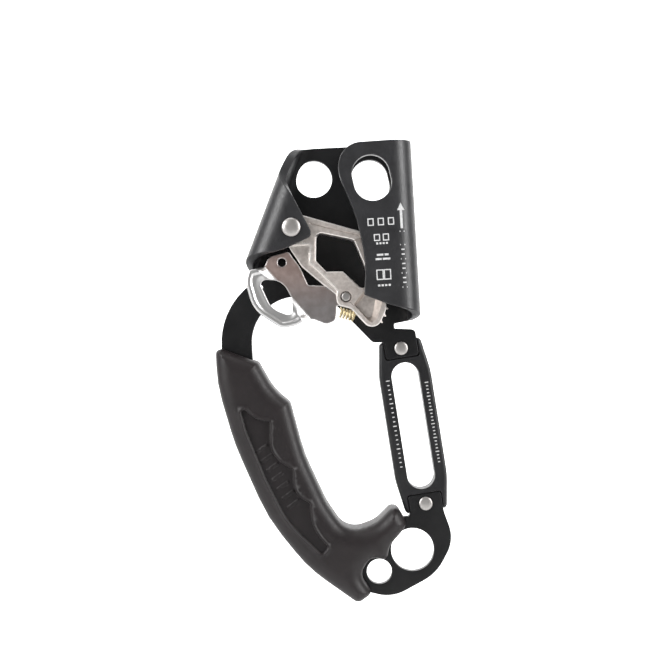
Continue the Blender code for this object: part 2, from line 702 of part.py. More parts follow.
def axle_stack(steel, bronze):
    """The cam's riveted axle with its rear washer, two thrust washers beside the cam, and the bush in its bore."""
    hole = AXLE_RADIUS + GAP
    washer("axle_washer", steel, CAM_PIVOT, hole, 5.0, PLATE_BACK + GAP, PLATE_BACK + 1.1)
    headed_rivet("cam_axle", steel, CAM_PIVOT, AXLE_RADIUS, -PLATE_BACK - GAP, (3.8, 1.7), PLATE_BACK + 1.4,
                 (3.8, 1.3))
    washer("front_thrust_washer", bronze, CAM_PIVOT, hole, 5.2, -CHANNEL_RADIUS + 0.25, -CAM_HALF - 0.25)
    washer("rear_thrust_washer", bronze, CAM_PIVOT, hole, 3.8, CAM_HALF + 0.25, CHANNEL_RADIUS - 0.25)
    return washer("cam_bush", bronze, CAM_PIVOT, AXLE_RADIUS + 0.1, CAM_BORE - 0.1, -CAM_HALF, CAM_HALF)


# ---------------------------------------------------------------- assembly

clear_scene()
pieces = new_collection("ascender")
cutters = new_collection("cutters")

anodised = new_material("black_anodise", BLACK_ANODISE, 0.42, 0.6)
link_finish = new_material("link_anodise", LINK_ANODISE, 0.4, 0.6)
cast = new_material("cast_steel", CAST_STEEL, 0.38, 1.0)
stamped = new_material("stamped_steel", STAMPED_STEEL, 0.3, 1.0)
bright = new_material("bright_steel", BRIGHT_STEEL, 0.15, 1.0)
springy = new_material("spring_steel", SPRING_STEEL, 0.25, 1.0)
bearing = new_material("bearing_bronze", BRONZE, 0.35, 1.0)
rubber = new_material("grip_rubber", RUBBER, 0.7, 0.0)

cam_pivot = new_pivot("cam_pivot", CAM_PIVOT)
trigger_pivot = new_pivot("trigger_pivot", TRIGGER_PIVOT, cam_pivot)

frame_plate(anodised)
descender_link(link_finish)
link_fastenings(bright)
grip(rubber)
cam_spring(springy)
hang(axle_stack(bright, bearing), cam_pivot)
hang(cam(cast), cam_pivot)
hang(trigger_pin(bright), cam_pivot)
hang(trigger(stamped), trigger_pivot)
hang(trigger_spring(springy), trigger_pivot)
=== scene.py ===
"""The looks of a handled rope ascender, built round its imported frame.

Sizes are in millimetres, which MM turns into metres, and the stage's are in metres. Outlines are corners of
(x, z, radius). +Z runs up the rope channel, +X points from the handle to the rope, and -Y faces the user.
"""

import math

import bmesh
import bpy
import numpy as np
from mathutils import Matrix, Vector
from mathutils.geometry import delaunay_2d_cdt
from mathutils.kdtree import KDTree


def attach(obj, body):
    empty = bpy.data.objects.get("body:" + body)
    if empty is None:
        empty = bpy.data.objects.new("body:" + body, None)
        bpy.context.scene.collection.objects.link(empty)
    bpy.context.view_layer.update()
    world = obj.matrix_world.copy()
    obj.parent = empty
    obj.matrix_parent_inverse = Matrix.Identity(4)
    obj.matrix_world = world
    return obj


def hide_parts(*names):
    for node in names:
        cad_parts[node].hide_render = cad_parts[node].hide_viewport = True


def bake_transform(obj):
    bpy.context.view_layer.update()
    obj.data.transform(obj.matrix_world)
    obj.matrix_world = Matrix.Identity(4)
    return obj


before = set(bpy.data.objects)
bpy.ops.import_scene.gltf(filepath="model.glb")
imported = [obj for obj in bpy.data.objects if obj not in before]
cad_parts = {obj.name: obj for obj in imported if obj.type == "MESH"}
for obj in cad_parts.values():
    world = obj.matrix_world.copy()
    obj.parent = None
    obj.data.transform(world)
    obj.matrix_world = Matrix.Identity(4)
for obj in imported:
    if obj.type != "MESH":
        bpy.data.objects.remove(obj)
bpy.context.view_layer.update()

MM = 0.001
ARC_STEP = math.radians(6)
CLEARANCE = 0.3
CUTTER_EDGE = 0.02
POINT_GAP = 0.035  # the least distance between two points of a relief

# Bent plate. Beyond its relief cuts the blank is rolled into the rope channel and the cam housing.
SHEET = 3.5
CHANNEL_RADIUS = 6.0
PLATE_FRONT = CHANNEL_RADIUS
PLATE_BACK = CHANNEL_RADIUS + SHEET
FOLD_RADIUS = CHANNEL_RADIUS + SHEET / 2
FOLD_LENGTH = math.pi * FOLD_RADIUS
FOLD_CUTS = 36
CHANNEL_RELIEF = -40.6
HOUSING_RELIEF = -42.0
HOUSING_LEAN = math.radians(23.95)
HOUSING_ALONG = Vector((math.sin(HOUSING_LEAN), math.cos(HOUSING_LEAN)))
HOUSING_OUT = Vector((-math.cos(HOUSING_LEAN), math.sin(HOUSING_LEAN)))
HOUSING_START = 41.9
PLATE_EDGE = 0.4
PAINTED_SHADE_DEPTH = 2.5  # how far the painted shade, a darker and less glossy inside, comes forward of the back plate's face

CARABINER_HOLE = (-31.1, 22.2, 7.6)
ROPE_HOLE = ((-8.0, 21.3), (-7.4, 17.9), 7.6)
SMALL_EYE = (-13.2, -142.0, 5.2)
LARGE_EYE = (1.1, -133.7, 8.9)

# Cam.
CAM_PIVOT = (-41.2, 1.5)
CAM_HALF = 5.0
CAM_BORE = 3.2
CAM_EDGE = 0.45
CAM_WEB = -3.0  # where the front of the sunk web lies, in y
CAM_FOOT = -1.8  # where the floor of the foot's pocket lies, in y
ARM_STEP = 1.8  # how much lower than the face the toothed arm lies
LEDGE_STEP = 2.4
GROOVE_DEPTH = 0.4
TOOTH_PITCH = 2.9
TOOTH_RADIUS = 0.9
TOOTH_LENGTH = 1.8
TOOTH_TIP = 0.2
TOOTH_COLUMN = 3.0
TOOTH_LEAN = math.radians(24)
AXLE_RADIUS = 2.5
AXLE_HEAD = (3.8, 1.7)  # radius and height, and so for the other heads
AXLE_REAR_HEAD = (3.8, 1.3)
AXLE_RING = (5.0, 0.8)  # radius and thickness
CAM_SPRING_RADIUS = 4.7
CAM_SPRING_TURNS = 3.5
CAM_SPRING_FLOOR = 1.6
CAM_SPRING_LEG = (-37.9, 4.8)

# Trigger.
TRIGGER_PIVOT = (-20.7, -27.5)
TRIGGER_BORE = 2.2
PIN_RADIUS = 1.9
PIN_MOUTH = (2.6, 0.9)  # radius and depth of the sink round the pin
CATCH_HOLE = (-46.0, -12.0, 1.7)
TRIGGER_FRONT = -2.6
TRIGGER_BACK = -0.2
RING_BEND = (Vector((-50.0, -16.0)), Vector((-37.0, -32.6)))  # where the ring starts to rise from the catch
RING_LIFT = 2.3
LIP_LIFT = 0.7
LIP_WIDTH = 2.7
RING_DISH = (0.6, 2.6)  # depth and width of the fall towards the ring's hole
CATCH_THINNEST = 0.7
CATCH_PAINTED_LIGHT = (-0.034, -0.012)  # the heights in metres between which the catch's painted light comes in: its top is painted lighter and warmer
SPRING_START = (-24.3, -33.3)
SPRING_END = (-17.2, -35.9)
SPRING_Y = -1.4
SPRING_RADIUS = 2.1
SPRING_TURNS = 5
WIRE = 0.38

# Link.
LINK_MIDDLE = (4.35, -82.4)
LINK_TILT = math.radians(5.72)
LINK_BACK = 14.0
LINK_EDGE = 0.4
LINK_RIM = 1.5
LINK_WINDOW = (20.75, 5.75)  # half the distance between the slot's two centres, and its radius
LAP_START = 28.3
TONGUE_HALF = 7.0
RIVET_AT = 32.6
RIVET_BORE = 2.2
RIVET_SHANK = 1.9
RIVET_HEAD = (2.8, 1.0)
RIVET_REAR_HEAD = (3.2, 1.0)
RIVET_RING = (4.0, 0.6)

# Grip.
GRIP_HALF = 11.0
GRIP_SIDE = 5.5
GRIP_ROUND = 6.5
PANEL_DEPTH = 1.2
PANEL_BEAD = 0.4
PAD_COUNT = 7
PAD_HALF = 0.4
PAD_RISE = 0.4

# Printed marks: how far they stand out of the surface, and how far they reach into it.
PRINT_PROUD = 0.03
PRINT_ROOT = 0.1

# Camera: its place in metres, its roll and its lens in millimetres.
CAMERA_PLACE = (-0.02987, -0.47225, -0.0385)
CAMERA_ROLL = math.radians(3.3)
CAMERA_LENS = 63.8


# ---- outlines

def fitting_radii(corners):
    """Each corner's radius, less where the straight sides are too short for it."""
    places = [Vector(corner[:2]) for corner in corners]
    count = len(corners)
    tangents, slopes = [], []
    for i, corner in enumerate(places):
        inside = (places[i - 1] - corner).angle(places[(i + 1) % count] - corner)
        slopes.append(math.tan(inside / 2))
        tangents.append(corners[i][2] / slopes[-1])
    for i in range(count):
        room = (places[i] - places[i - 1]).length * 0.98
        share = min(1, room / max(tangents[i] + tangents[i - 1], room))
        tangents[i] *= share
        tangents[i - 1] *= share
    return [tangent * slope for tangent, slope in zip(tangents, slopes)]


def rounded(corners, step=ARC_STEP):
    """The points of a closed outline whose (x, z, radius) corners are turned into arcs."""
    places = [Vector(corner[:2]) for corner in corners]
    points = []
    for i, (corner, radius) in enumerate(zip(places, fitting_radii(corners))):
        back = (places[i - 1] - corner).normalized()
        ahead = (places[(i + 1) % len(places)] - corner).normalized()
        inside = back.angle(ahead)
        turn = math.pi - inside
        if radius == 0:
            points.append(corner)
            continue
        side = 1 if back.cross(ahead) < 0 else -1
        centre = corner + (back + ahead).normalized() * radius / math.sin(inside / 2)
        start = corner + back * radius / math.tan(inside / 2) - centre
        steps = max(2, round(turn / step))
        for k in range(steps + 1):
            points.append(centre + Matrix.Rotation(side * turn * k / steps, 2) @ start)
    return points


def circle(x, z, radius, count=64):
    """The points of a circle."""
    turns = (2 * math.pi * k / count for k in range(count))
    return [Vector((x + radius * math.cos(t), z + radius * math.sin(t))) for t in turns]


def slot(first, last, radius, count=32):
    """The points round two equal circles, as a string pulled tight would follow them."""
    line = Vector(last) - Vector(first)
    heading = math.atan2(line.y, line.x)
    points = []
    for centre, begin in ((first, heading + math.pi / 2), (last, heading - math.pi / 2)):
        for k in range(count + 1):
            angle = begin + math.pi * k / count
            points.append(Vector(centre) + radius * Vector((math.cos(angle), math.sin(angle))))
    return points


def even(outline, spacing):
    """Points at about this spacing along a closed outline, anticlockwise."""
    outline = anticlockwise(outline)
    points = []
    for i, end in enumerate(outline):
        start = outline[i - 1]
        length = (end - start).length
        if length < 1e-4:
            continue
        count = max(1, round(length / spacing))
        points += [start.lerp(end, k / count) for k in range(count)]
    return points


def anticlockwise(points):
    """A closed outline's points, turned round if they run clockwise."""
    area = sum(points[i - 1].cross(point) for i, point in enumerate(points))
    return points if area > 0 else points[::-1]


def grown(points, margin):
    """An anticlockwise outline moved outwards by a small margin."""
    moved = []
    for i, point in enumerate(points):
        edge_in = (point - points[i - 1]).normalized()
        edge_out = (points[(i + 1) % len(points)] - point).normalized()
        along = (edge_in + edge_out).normalized()
        moved.append(point + margin * Vector((along.y, -along.x)))
    return moved


def on_link(across, up):
    """Where a point of the link lies, from its middle, across and up its own tilted length."""
    cos, sin = math.cos(LINK_TILT), math.sin(LINK_TILT)
    return (LINK_MIDDLE[0] + across * cos - up * sin, LINK_MIDDLE[1] + across * sin + up * cos)


def link_corners(corners):
    """Corners given in the link's own directions, as corners in x and z."""
    return [(*on_link(across, up), radius) for across, up, radius in corners]


def off_channel(x, z):
    """Where a point of the channel flap lies in the flat blank."""
    return (FOLD_LENGTH - x, z)


def off_housing(x, z):
    """Where a point of the housing flap lies in the flat blank."""
    point = Vector((x, z))
    inward = HOUSING_START - point.dot(HOUSING_OUT)
    return tuple(point + HOUSING_OUT * (FOLD_LENGTH + 2 * inward))


def smooth(low, high, value):
    """0 below low and 1 above high, with a soft step between."""
    share = np.clip((value - low) / (high - low), 0, 1)
    return share * share * (3 - 2 * share)


def sides(loops):
    """Where each side of the closed outlines starts and ends."""
    starts = np.concatenate([np.array(loop) for loop in loops])
    ends = np.concatenate([np.roll(np.array(loop), -1, axis=0) for loop in loops])
    return starts, ends


def distances(points, loops):
    """Each point's distance to the nearest side of any of the loops."""
    starts, ends = sides(loops)
    points = np.asarray(points)[:, None]
    along = ends - starts
    share = ((points - starts) * along).sum(2) / (along**2).sum(1)
    nearest = starts + np.clip(share, 0, 1)[..., None] * along
    return np.sqrt(((points - nearest) ** 2).sum(2)).min(1)


def within(points, loop):
    """Which points lie inside a closed outline."""
    starts, ends = sides([loop])
    x, z = np.asarray(points)[:, None, 0], np.asarray(points)[:, None, 1]
    rise = ends[:, 1] - starts[:, 1]
    slope = (ends[:, 0] - starts[:, 0]) / np.where(rise == 0, 1, rise)
    crosses = (starts[:, 1] > z) != (ends[:, 1] > z)
    return (crosses & (x < starts[:, 0] + (z - starts[:, 1]) * slope)).sum(1) % 2 == 1


def in_sheet(points, loops):
    """Which points lie inside the first outline and outside the others."""
    inside = within(points, loops[0])
    for hole in loops[1:]:
        inside &= ~within(points, hole)
    return inside


def chosen(points, keep):
    """The points whose keep is true."""
    return [point for point, kept in zip(points, keep) if kept]


def signed(points, loop):
    """Each point's distance to a closed outline, positive inside it."""
    return distances(points, [loop]) * np.where(within(points, loop), 1, -1)


def bar_distance(points, start, end):
    """Each point's distance to a straight stretch."""
    along = np.array(end) - np.array(start)
    share = np.clip(((points - np.array(start)) @ along) / (along @ along), 0, 1)
    return np.sqrt(((points - np.array(start) - share[:, None] * along) ** 2).sum(1))


# ---- mesh tools

def placed(name, data):
    """A new object in the scene."""
    obj = bpy.data.objects.new(name, data)
    bpy.context.scene.collection.objects.link(obj)
    return obj


def new_object(name, verts, faces):
    """A new mesh object from points in millimetres, its faces turned outwards."""
    mesh = bpy.data.meshes.new(name)
    mesh.from_pydata([(x * MM, y * MM, z * MM) for x, y, z in verts], [], faces)
    shape = bmesh.new()
    shape.from_mesh(mesh)
    bmesh.ops.recalc_face_normals(shape, faces=shape.faces)
    shape.to_mesh(mesh)
    shape.free()
    return placed(name, mesh)


def as_shown(obj):
    """A new mesh of an object with its modifiers applied."""
    bpy.context.view_layer.update()
    return bpy.data.meshes.new_from_object(obj.evaluated_get(bpy.context.evaluated_depsgraph_get()))


def weld(mesh, gap):
    """Joins the points that lie closer than gap, and drops the faces that this leaves without an area."""
    shape = bmesh.new()
    shape.from_mesh(mesh)
    bmesh.ops.remove_doubles(shape, verts=shape.verts, dist=gap * MM)
    bmesh.ops.dissolve_degenerate(shape, edges=shape.edges, dist=1e-6)
    shape.to_mesh(mesh)
    shape.free()


def filled(loops, inner=()):
    """Points and the triangles that fill the first loop, less the other loops."""
    points = [point for loop in loops for point in loop] + list(inner)
    edges = []
    for loop in loops:
        first = len(edges)
        edges += [(first + i, first + (i + 1) % len(loop)) for i in range(len(loop))]
    made, _, faces, *_ = delaunay_2d_cdt(points, edges, [], 1, 1e-6)
    centres = [(made[a] + made[b] + made[c]) / 3 for a, b, c in faces]
    return made, chosen(faces, in_sheet(centres, loops))


def edge_profile(low, high, front, back, steps=3):
    """(inset, y) down a slab's side: a rounded edge of radius front, then one of radius back."""
    arc = [math.pi / 2 * k / steps for k in range(steps + 1)]
    first = [(front * (1 - math.sin(a)), low + front * (1 - math.cos(a))) for a in arc]
    last = [(back * (1 - math.sin(a)), high - back * (1 - math.cos(a))) for a in reversed(arc)]
    return first + last


def walls(loops, count, steps):
    """The faces between layers of count points each, whose first points run round the loops."""
    faces = []
    start = 0
    for loop in loops:
        for i in range(len(loop)):
            a, b = start + i, start + (i + 1) % len(loop)
            layers = range(0, count * steps, count)
            faces += [(layer + a, layer + b, layer + count + b, layer + count + a) for layer in layers]
        start += len(loop)
    return faces


def slab(name, outlines, low, high, edge, rim=None):
    """A flat piece from y = low to y = high with rounded edges; rim is the radius of its outer front edge."""
    loops = [anticlockwise(points) for points in outlines]
    outer = edge_profile(low, high, rim or edge, edge)
    hole = edge_profile(low, high, edge, edge)
    verts = []
    for (inset, y), (widening, hole_y) in zip(outer, hole):
        verts += [(p.x, y, p.y) for p in grown(loops[0], -inset)]
        for loop in loops[1:]:
            verts += [(p.x, hole_y, p.y) for p in grown(loop, widening)]
    count = sum(len(loop) for loop in loops)
    faces = walls(loops, count, len(outer) - 1)
    for end, turn in ((0, -1), (len(outer) - 1, 1)):
        flat = [grown(loops[0], -outer[end][0])] + [grown(loop, hole[end][0]) for loop in loops[1:]]
        faces += [tuple(i + count * end for i in face[::turn]) for face in filled(flat)[1]]
    return new_object(name, verts, faces)


def thinned(points, gap, taken):
    """The points, less those that lie closer than gap to an earlier one or to one that is taken."""
    everything = taken + points
    tree = KDTree(len(everything))
    for i, point in enumerate(everything):
        tree.insert((*point, 0), i)
    tree.balance()
    keep = np.full(len(everything), True)
    for i, point in enumerate(everything):
        if keep[i]:
            near = (j for _, j, _ in tree.find_range((*point, 0), gap))
            keep[[j for j in near if j > i and j >= len(taken)]] = False
    return chosen(everything[len(taken):], keep[len(taken):])


def relief(name, loops, inner, heights):
    """A sheet whose front and back, heights(points), are surfaces over the x, z plane."""
    points, triangles = filled(loops, thinned(inner, POINT_GAP, sum(loops, [])))
    front, back = heights(np.array(points))
    count = len(points)
    verts = [(p.x, y, p.y) for p, y in zip(points, front)] + [(p.x, y, p.y) for p, y in zip(points, back)]
    faces = [face[::-1] for face in triangles] + [tuple(i + count for i in face) for face in triangles]
    return new_object(name, verts, faces + walls(loops, count, 1))


def scattered(loops, spacing, rings):
    """Points that shape a relief: rings that follow its edges, then a staggered grid."""
    points = []
    for number, loop in enumerate(loops):
        for margin in rings:
            ring = grown(even(loop, spacing * 0.6), margin if number else -margin)
            points += chosen(ring, distances(ring, loops) > 0.96 * margin)
    xs, zs = [p.x for p in loops[0]], [p.y for p in loops[0]]
    height = spacing * math.sqrt(3) / 2
    rows, columns = round((max(zs) - min(zs)) / height), round((max(xs) - min(xs)) / spacing)
    grid = [Vector((min(xs) + (column + row % 2 / 2) * spacing, min(zs) + row * height))
            for row in range(rows) for column in range(columns)]
    clear = distances(grid, loops) > max(rings) + spacing * 0.45
    return chosen(points, in_sheet(points, loops)) + chosen(grid, in_sheet(grid, loops) & clear)


def creased(loops, points, creases, margins, spacing=0.6):
    """The points of a relief, with rows added on both sides of its creases, which are closed outlines."""
    rows = []
    for crease in creases:
        path = even(crease, spacing)
        for margin in margins:
            rows += grown(path, margin) + grown(path, -margin)
    clear = distances(points, creases) > margins[-1] + 0.15
    return chosen(points, clear) + chosen(rows, in_sheet(rows, loops) & (distances(rows, loops) > 0.12))


def rounding(distance, radius):
    """How far a rounded edge falls away at a distance from it."""
    return radius * (1 - np.sqrt(1 - (1 - np.clip(distance / radius, 0, 1)) ** 2))


def values(items, field, width=1, kind=float):
    """One field of all the items as an array, with a row for each."""
    found = np.empty(len(items) * width, dtype=kind)
    items.foreach_get(field, found)
    return found.reshape(-1, width) if width > 1 else found


def true_normals(piece, heights, within_front=0.02, inset=0.04, step=0.03):
    """Shades a relief's front by the exact slope of its surface, and not by its triangles.

    The slope is taken over a step each way, a little in from the vertex, so that it is never past an edge.
    """
    mesh = piece.data
    places = values(mesh.vertices, "co", 3) / MM
    flat = places[:, [0, 2]]
    ends = values(mesh.edges, "vertices", 2, np.int32)
    inward = np.zeros((len(flat), 2))
    for first, last in (ends.T, ends.T[::-1]):
        np.add.at(inward, first, flat[last] - flat[first])
    inward /= np.maximum(np.linalg.norm(inward, axis=1), 1e-9)[:, None]
    on_front = np.abs(places[:, 1] - heights(flat)[0]) < within_front
    sampled = (flat + inset * inward)[on_front]
    normals = np.zeros((len(flat), 3))
    normals[:, 1] = -1
    for axis, shift in ((0, np.array((step, 0))), (2, np.array((0, step)))):
        normals[on_front, axis] = (heights(sampled + shift)[0] - heights(sampled - shift)[0]) / (2 * step)
    normals /= np.linalg.norm(normals, axis=1)[:, None]
    corner = values(mesh.loops, "vertex_index", 1, np.int32)
    sizes = values(mesh.polygons, "loop_total", 1, np.int32)
    faces_front = values(mesh.polygons, "normal", 3)[:, 1] < -0.05
    all_on_front = np.minimum.reduceat(on_front[corner].astype(int), np.cumsum(sizes) - sizes) > 0
    exact = np.repeat(all_on_front & faces_front, sizes)
    shading = np.zeros((len(corner), 3))
    shading[exact] = normals[corner[exact]]
    mesh.normals_split_custom_set(shading)


def wear(piece, amount):
    """Stores how far each vertex takes the material's bright colour, from amount(points), for the piece's
    material: wear, and along edges a painted highlight.
    """
    points = values(piece.data.vertices, "co", 3)[:, [0, 2]] / MM
    attribute = piece.data.attributes.new("wear", "FLOAT", "POINT")
    attribute.data.foreach_set("value", np.asarray(amount(points), dtype=np.float32))


def repaint(piece, material, faces):
    """Gives some of a piece's faces a second material; faces is true or false for each."""
    piece.data.materials.append(material)
    piece.data.polygons.foreach_set("material_index", np.asarray(faces, dtype=np.int32))


def carve(piece, tool, gap=0.003):
    """Cuts a piece by a tool, removes the tool, and welds the points that lie closer than gap."""
    modifier = piece.modifiers.new("Carve", "BOOLEAN")
    modifier.object = tool
    modifier.solver = "EXACT"
    mesh = as_shown(piece)
    piece.modifiers.clear()
    piece.data = mesh
    bpy.data.objects.remove(tool)
    weld(mesh, gap)


def turned(name, profile, centre):
    """A solid turned about an axis along Y, from a (radius, y) profile that starts at its front end."""
    mesh = bpy.data.meshes.new(name)
    points = [(radius * MM, 0, -y * MM) for radius, y in profile]
    mesh.from_pydata(points, [(i, i + 1) for i in range(len(points) - 1)], [])
    obj = placed(name, mesh)
    obj.rotation_euler.x = math.pi / 2
    obj.location = (centre[0] * MM, 0, centre[1] * MM)
    screw = obj.modifiers.new("Turn", "SCREW")
    screw.steps = screw.render_steps = 48
    screw.use_merge_vertices = True
    screw.merge_threshold = 1e-6
    return obj


def wire(name, path, radius):
    """A round wire along a list of points."""
    curve = bpy.data.curves.new(name, "CURVE")
    curve.dimensions = "3D"
    curve.bevel_depth = radius * MM
    curve.bevel_resolution = 4
    curve.use_fill_caps = True
    spline = curve.splines.new("POLY")
    spline.points.add(len(path) - 1)
    for point, place_of in zip(spline.points, path):
        point.co = (*(Vector(place_of) * MM), 1)
    outline = placed(name, curve)
    mesh = as_shown(outline)
    bpy.data.objects.remove(outline)
    bpy.data.curves.remove(curve)
    weld(mesh, 0.0001)
    mesh.name = name
    mesh.materials.clear()
    return placed(name, mesh)


def finish_piece(obj, slot_name, body, node=None, sharp=50, heights=None, bend=None, look=None):
    """Gives a piece its material, shading and body, and hides the CAD node it stands for.

    Edges stay sharp from an angle of sharp degrees, and heights are those of a relief. bend is given for a
    spring between two bodies, as the other body and where it starts and stops to bend towards it; only
    whether it is given is read, and such a piece is baked where it lies, in no body. look names the piece's
    material where that isn't called like the slot.
    """
    obj.data.materials.append(looks[look or slot_name])
    obj.data.shade_smooth()
    obj.data.set_sharp_from_angle(angle=math.radians(sharp))
    if heights:
        true_normals(obj, heights)
    elif not bend:
        weighted = obj.modifiers.new("Flat faces", "WEIGHTED_NORMAL")
        weighted.keep_sharp = True
        weighted.weight = 80
    if bend:
        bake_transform(obj)
    else:
        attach(obj, body)
    if node:
        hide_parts(node)


# ---- materials

def feed(tree, node, inputs):
    """Sets a node's inputs, each to a value or from the socket that feeds it."""
    for name, value in inputs.items():
        if isinstance(value, bpy.types.NodeSocket):
            tree.links.new(value, node.inputs[name])
        else:
            node.inputs[name].default_value = value


def add(tree, kind, inputs):
    """A new node with its inputs fed."""
    node = tree.nodes.new(kind)
    feed(tree, node, inputs)
    return node


def here(tree):
    """The place of the surface in the piece's own coordinates, in metres."""
    return tree.nodes.new("ShaderNodeTexCoord").outputs["Object"]


def noise(tree, scale, detail):
    """Noise whose scale is in features per metre."""
    inputs = {"Vector": here(tree), "Scale": scale, "Detail": detail}
    return add(tree, "ShaderNodeTexNoise", inputs).outputs["Fac"]


def fade(tree, axis, first, last, top):
    """A value that goes softly from 0 to top between two places along an axis."""
    axes = add(tree, "ShaderNodeSeparateXYZ", {"Vector": here(tree)})
    inputs = {"Value": axes.outputs[axis], "From Min": first, "From Max": last, "To Min": 0.0, "To Max": top}
    shade = add(tree, "ShaderNodeMapRange", inputs)
    shade.interpolation_type = "SMOOTHSTEP"
    return shade.outputs["Result"]


def colour_of(value):
    """A colour with its alpha, from a grey or a colour."""
    return (value,) * 3 + (1,) if isinstance(value, float) else (*value, 1)


def ramp(tree, factor, low, high, low_at=0.35, high_at=0.65):
    """Goes from one grey or colour to another over a factor."""
    node = add(tree, "ShaderNodeValToRGB", {"Fac": factor})
    for element, value, at in zip(node.color_ramp.elements, (low, high), (low_at, high_at)):
        element.color = colour_of(value)
        element.position = at
    return node.outputs["Color"]


def mixed(tree, how, factor, first, last):
    """Two colours mixed by a factor; each of the three is a value or a socket."""
    node = tree.nodes.new("ShaderNodeMix")
    node.data_type = "RGBA"
    node.blend_type = how
    feed(tree, node, {"Factor": factor, "A": first, "B": last})
    return node.outputs["Result"]


def wear_and_sheen_factor(tree, scale):
    """The stored mix of wear and painted edge highlight of the surface, broken up by fine noise."""
    stored = tree.nodes.new("ShaderNodeAttribute")
    stored.attribute_name = "wear"
    fine = ramp(tree, noise(tree, scale, 4.0), 0.45, 1.0)
    broken = add(tree, "ShaderNodeMath", {0: stored.outputs["Fac"], 1: fine})
    broken.operation = "MULTIPLY"
    broken.use_clamp = True
    return broken.outputs["Value"]


def textured(name, low, high, rough, metallic, grain, patches, specular=0.5, wear_and_sheen_colour=None, painted_top_light=None):
    """A surface whose colour and roughness wander over patches, with a fine bumpy grain.

    low and high are its colours, rough its two roughnesses, grain a list of (features per metre, height in
    millimetres), wear_and_sheen_colour the colour of its worn edges with their painted highlight, and
    painted_top_light what multiplies its colour at the catch's top: painted light that makes the top lighter
    and warmer.
    """
    material = bpy.data.materials.new(name)
    material.use_nodes = True
    tree = material.node_tree
    colour = ramp(tree, noise(tree, patches, 5.0), low, high)
    # Painted light: the colour is multiplied up, lighter and warmer, towards the catch's top.
    if painted_top_light:
        shade = ramp(tree, fade(tree, "Z", *CATCH_PAINTED_LIGHT, 1.0), 1.0, painted_top_light, 0.0, 1.0)
        colour = mixed(tree, "MULTIPLY", 1.0, colour, shade)
    roughness = ramp(tree, noise(tree, grain[0][0] * 0.6, 3.0), *rough, 0.3, 0.7)
    # The bright colour and lower roughness stand for worn, polished metal and, along edges, a painted
    # highlight.
    if wear_and_sheen_colour:
        factor = wear_and_sheen_factor(tree, grain[0][0])
        colour = mixed(tree, "MIX", factor, colour, colour_of(wear_and_sheen_colour))
        roughness = mixed(tree, "MIX", factor, roughness, colour_of(rough[0] * 0.85))
    surface = tree.nodes["Principled BSDF"]
    feed(tree, surface, {"Metallic": metallic, "Specular IOR Level": specular, "Base Color": colour,
                         "Roughness": roughness})
    normal = surface.inputs["Normal"]
    for scale, height in reversed(grain):
        inputs = {"Strength": 1.0, "Distance": height * MM, "Height": noise(tree, scale, 2.0)}
        node = add(tree, "ShaderNodeBump", inputs)
        tree.links.new(node.outputs["Normal"], normal)
        normal = node.inputs["Normal"]
    return material


def make_materials():
    """The materials, under the names by which the pieces ask for them."""
    return {
        "plate": textured("plate_anodise", (0.0125, 0.0125, 0.0137), (0.019, 0.019, 0.0207), (0.30, 0.44),
                          0.0, [(1500, 0.055), (3200, 0.016)], 120),
        # inside: painted shade, a darker and less glossy copy of the plate's anodise for where the folds
        # shadow the back plate
        "inside": textured("inside_anodise", (0.0045, 0.0045, 0.0050), (0.0075, 0.0075, 0.0080),
                           (0.32, 0.44), 0.0, [(1500, 0.050), (3200, 0.016)], 120, 0.28),
        "link": textured("link_anodise", (0.0075, 0.0075, 0.0085), (0.0115, 0.0115, 0.0125),
                         (0.32, 0.42), 0.0, [(1500, 0.040), (3200, 0.015)], 120, 0.36),
        # cast_steel's bright colour is edge wear with a painted highlight on the edges
        "cast_steel": textured("cast_steel", (0.53, 0.480, 0.445), (0.68, 0.625, 0.585), (0.44, 0.54), 1.0,
                               [(2400, 0.030), (700, 0.03)], 600, wear_and_sheen_colour=(0.95, 0.92, 0.89)),
        # stamped_steel: painted light makes its top lighter and warmer; its bright colour is the ring's
        # polish and the edges' wear, with a painted highlight on the edges
        "stamped_steel": textured("stamped_steel", (0.245, 0.225, 0.222), (0.30, 0.28, 0.277), (0.40, 0.48),
                                  1.0, [(2200, 0.004), (500, 0.005)], 300, wear_and_sheen_colour=(0.62, 0.615, 0.61),
                                  painted_top_light=(1.55, 1.28, 1.18)),
        "bright_steel": textured("bright_steel", (0.40, 0.385, 0.37), (0.48, 0.46, 0.445), (0.36, 0.44), 1.0,
                                 [(2400, 0.002)], 300),
        "spring_steel": textured("spring_steel", (0.50, 0.41, 0.23), (0.66, 0.57, 0.38), (0.24, 0.34), 1.0,
                                 [(3000, 0.006)], 500),
        "bronze": textured("bearing_bronze", (0.36, 0.23, 0.1), (0.5, 0.34, 0.17), (0.3, 0.42), 1.0,
                           [(2400, 0.02)], 300),
        "grip": textured("grip_rubber", (0.0096, 0.0071, 0.0076), (0.0130, 0.0098, 0.0104), (0.40, 0.50), 0.0,
                         [(1500, 0.03), (380, 0.04)], 90, 0.35),
        "panel": textured("panel_rubber", (0.0082, 0.0062, 0.0066), (0.0110, 0.0084, 0.0090), (0.42, 0.52),
                          0.0, [(1900, 0.03), (380, 0.03)], 90, 0.30),
        "print": textured("white_print", 0.48, 0.62, (0.5, 0.6), 0.0, [(4000, 0.006)], 1500),
    }


# ---- plate

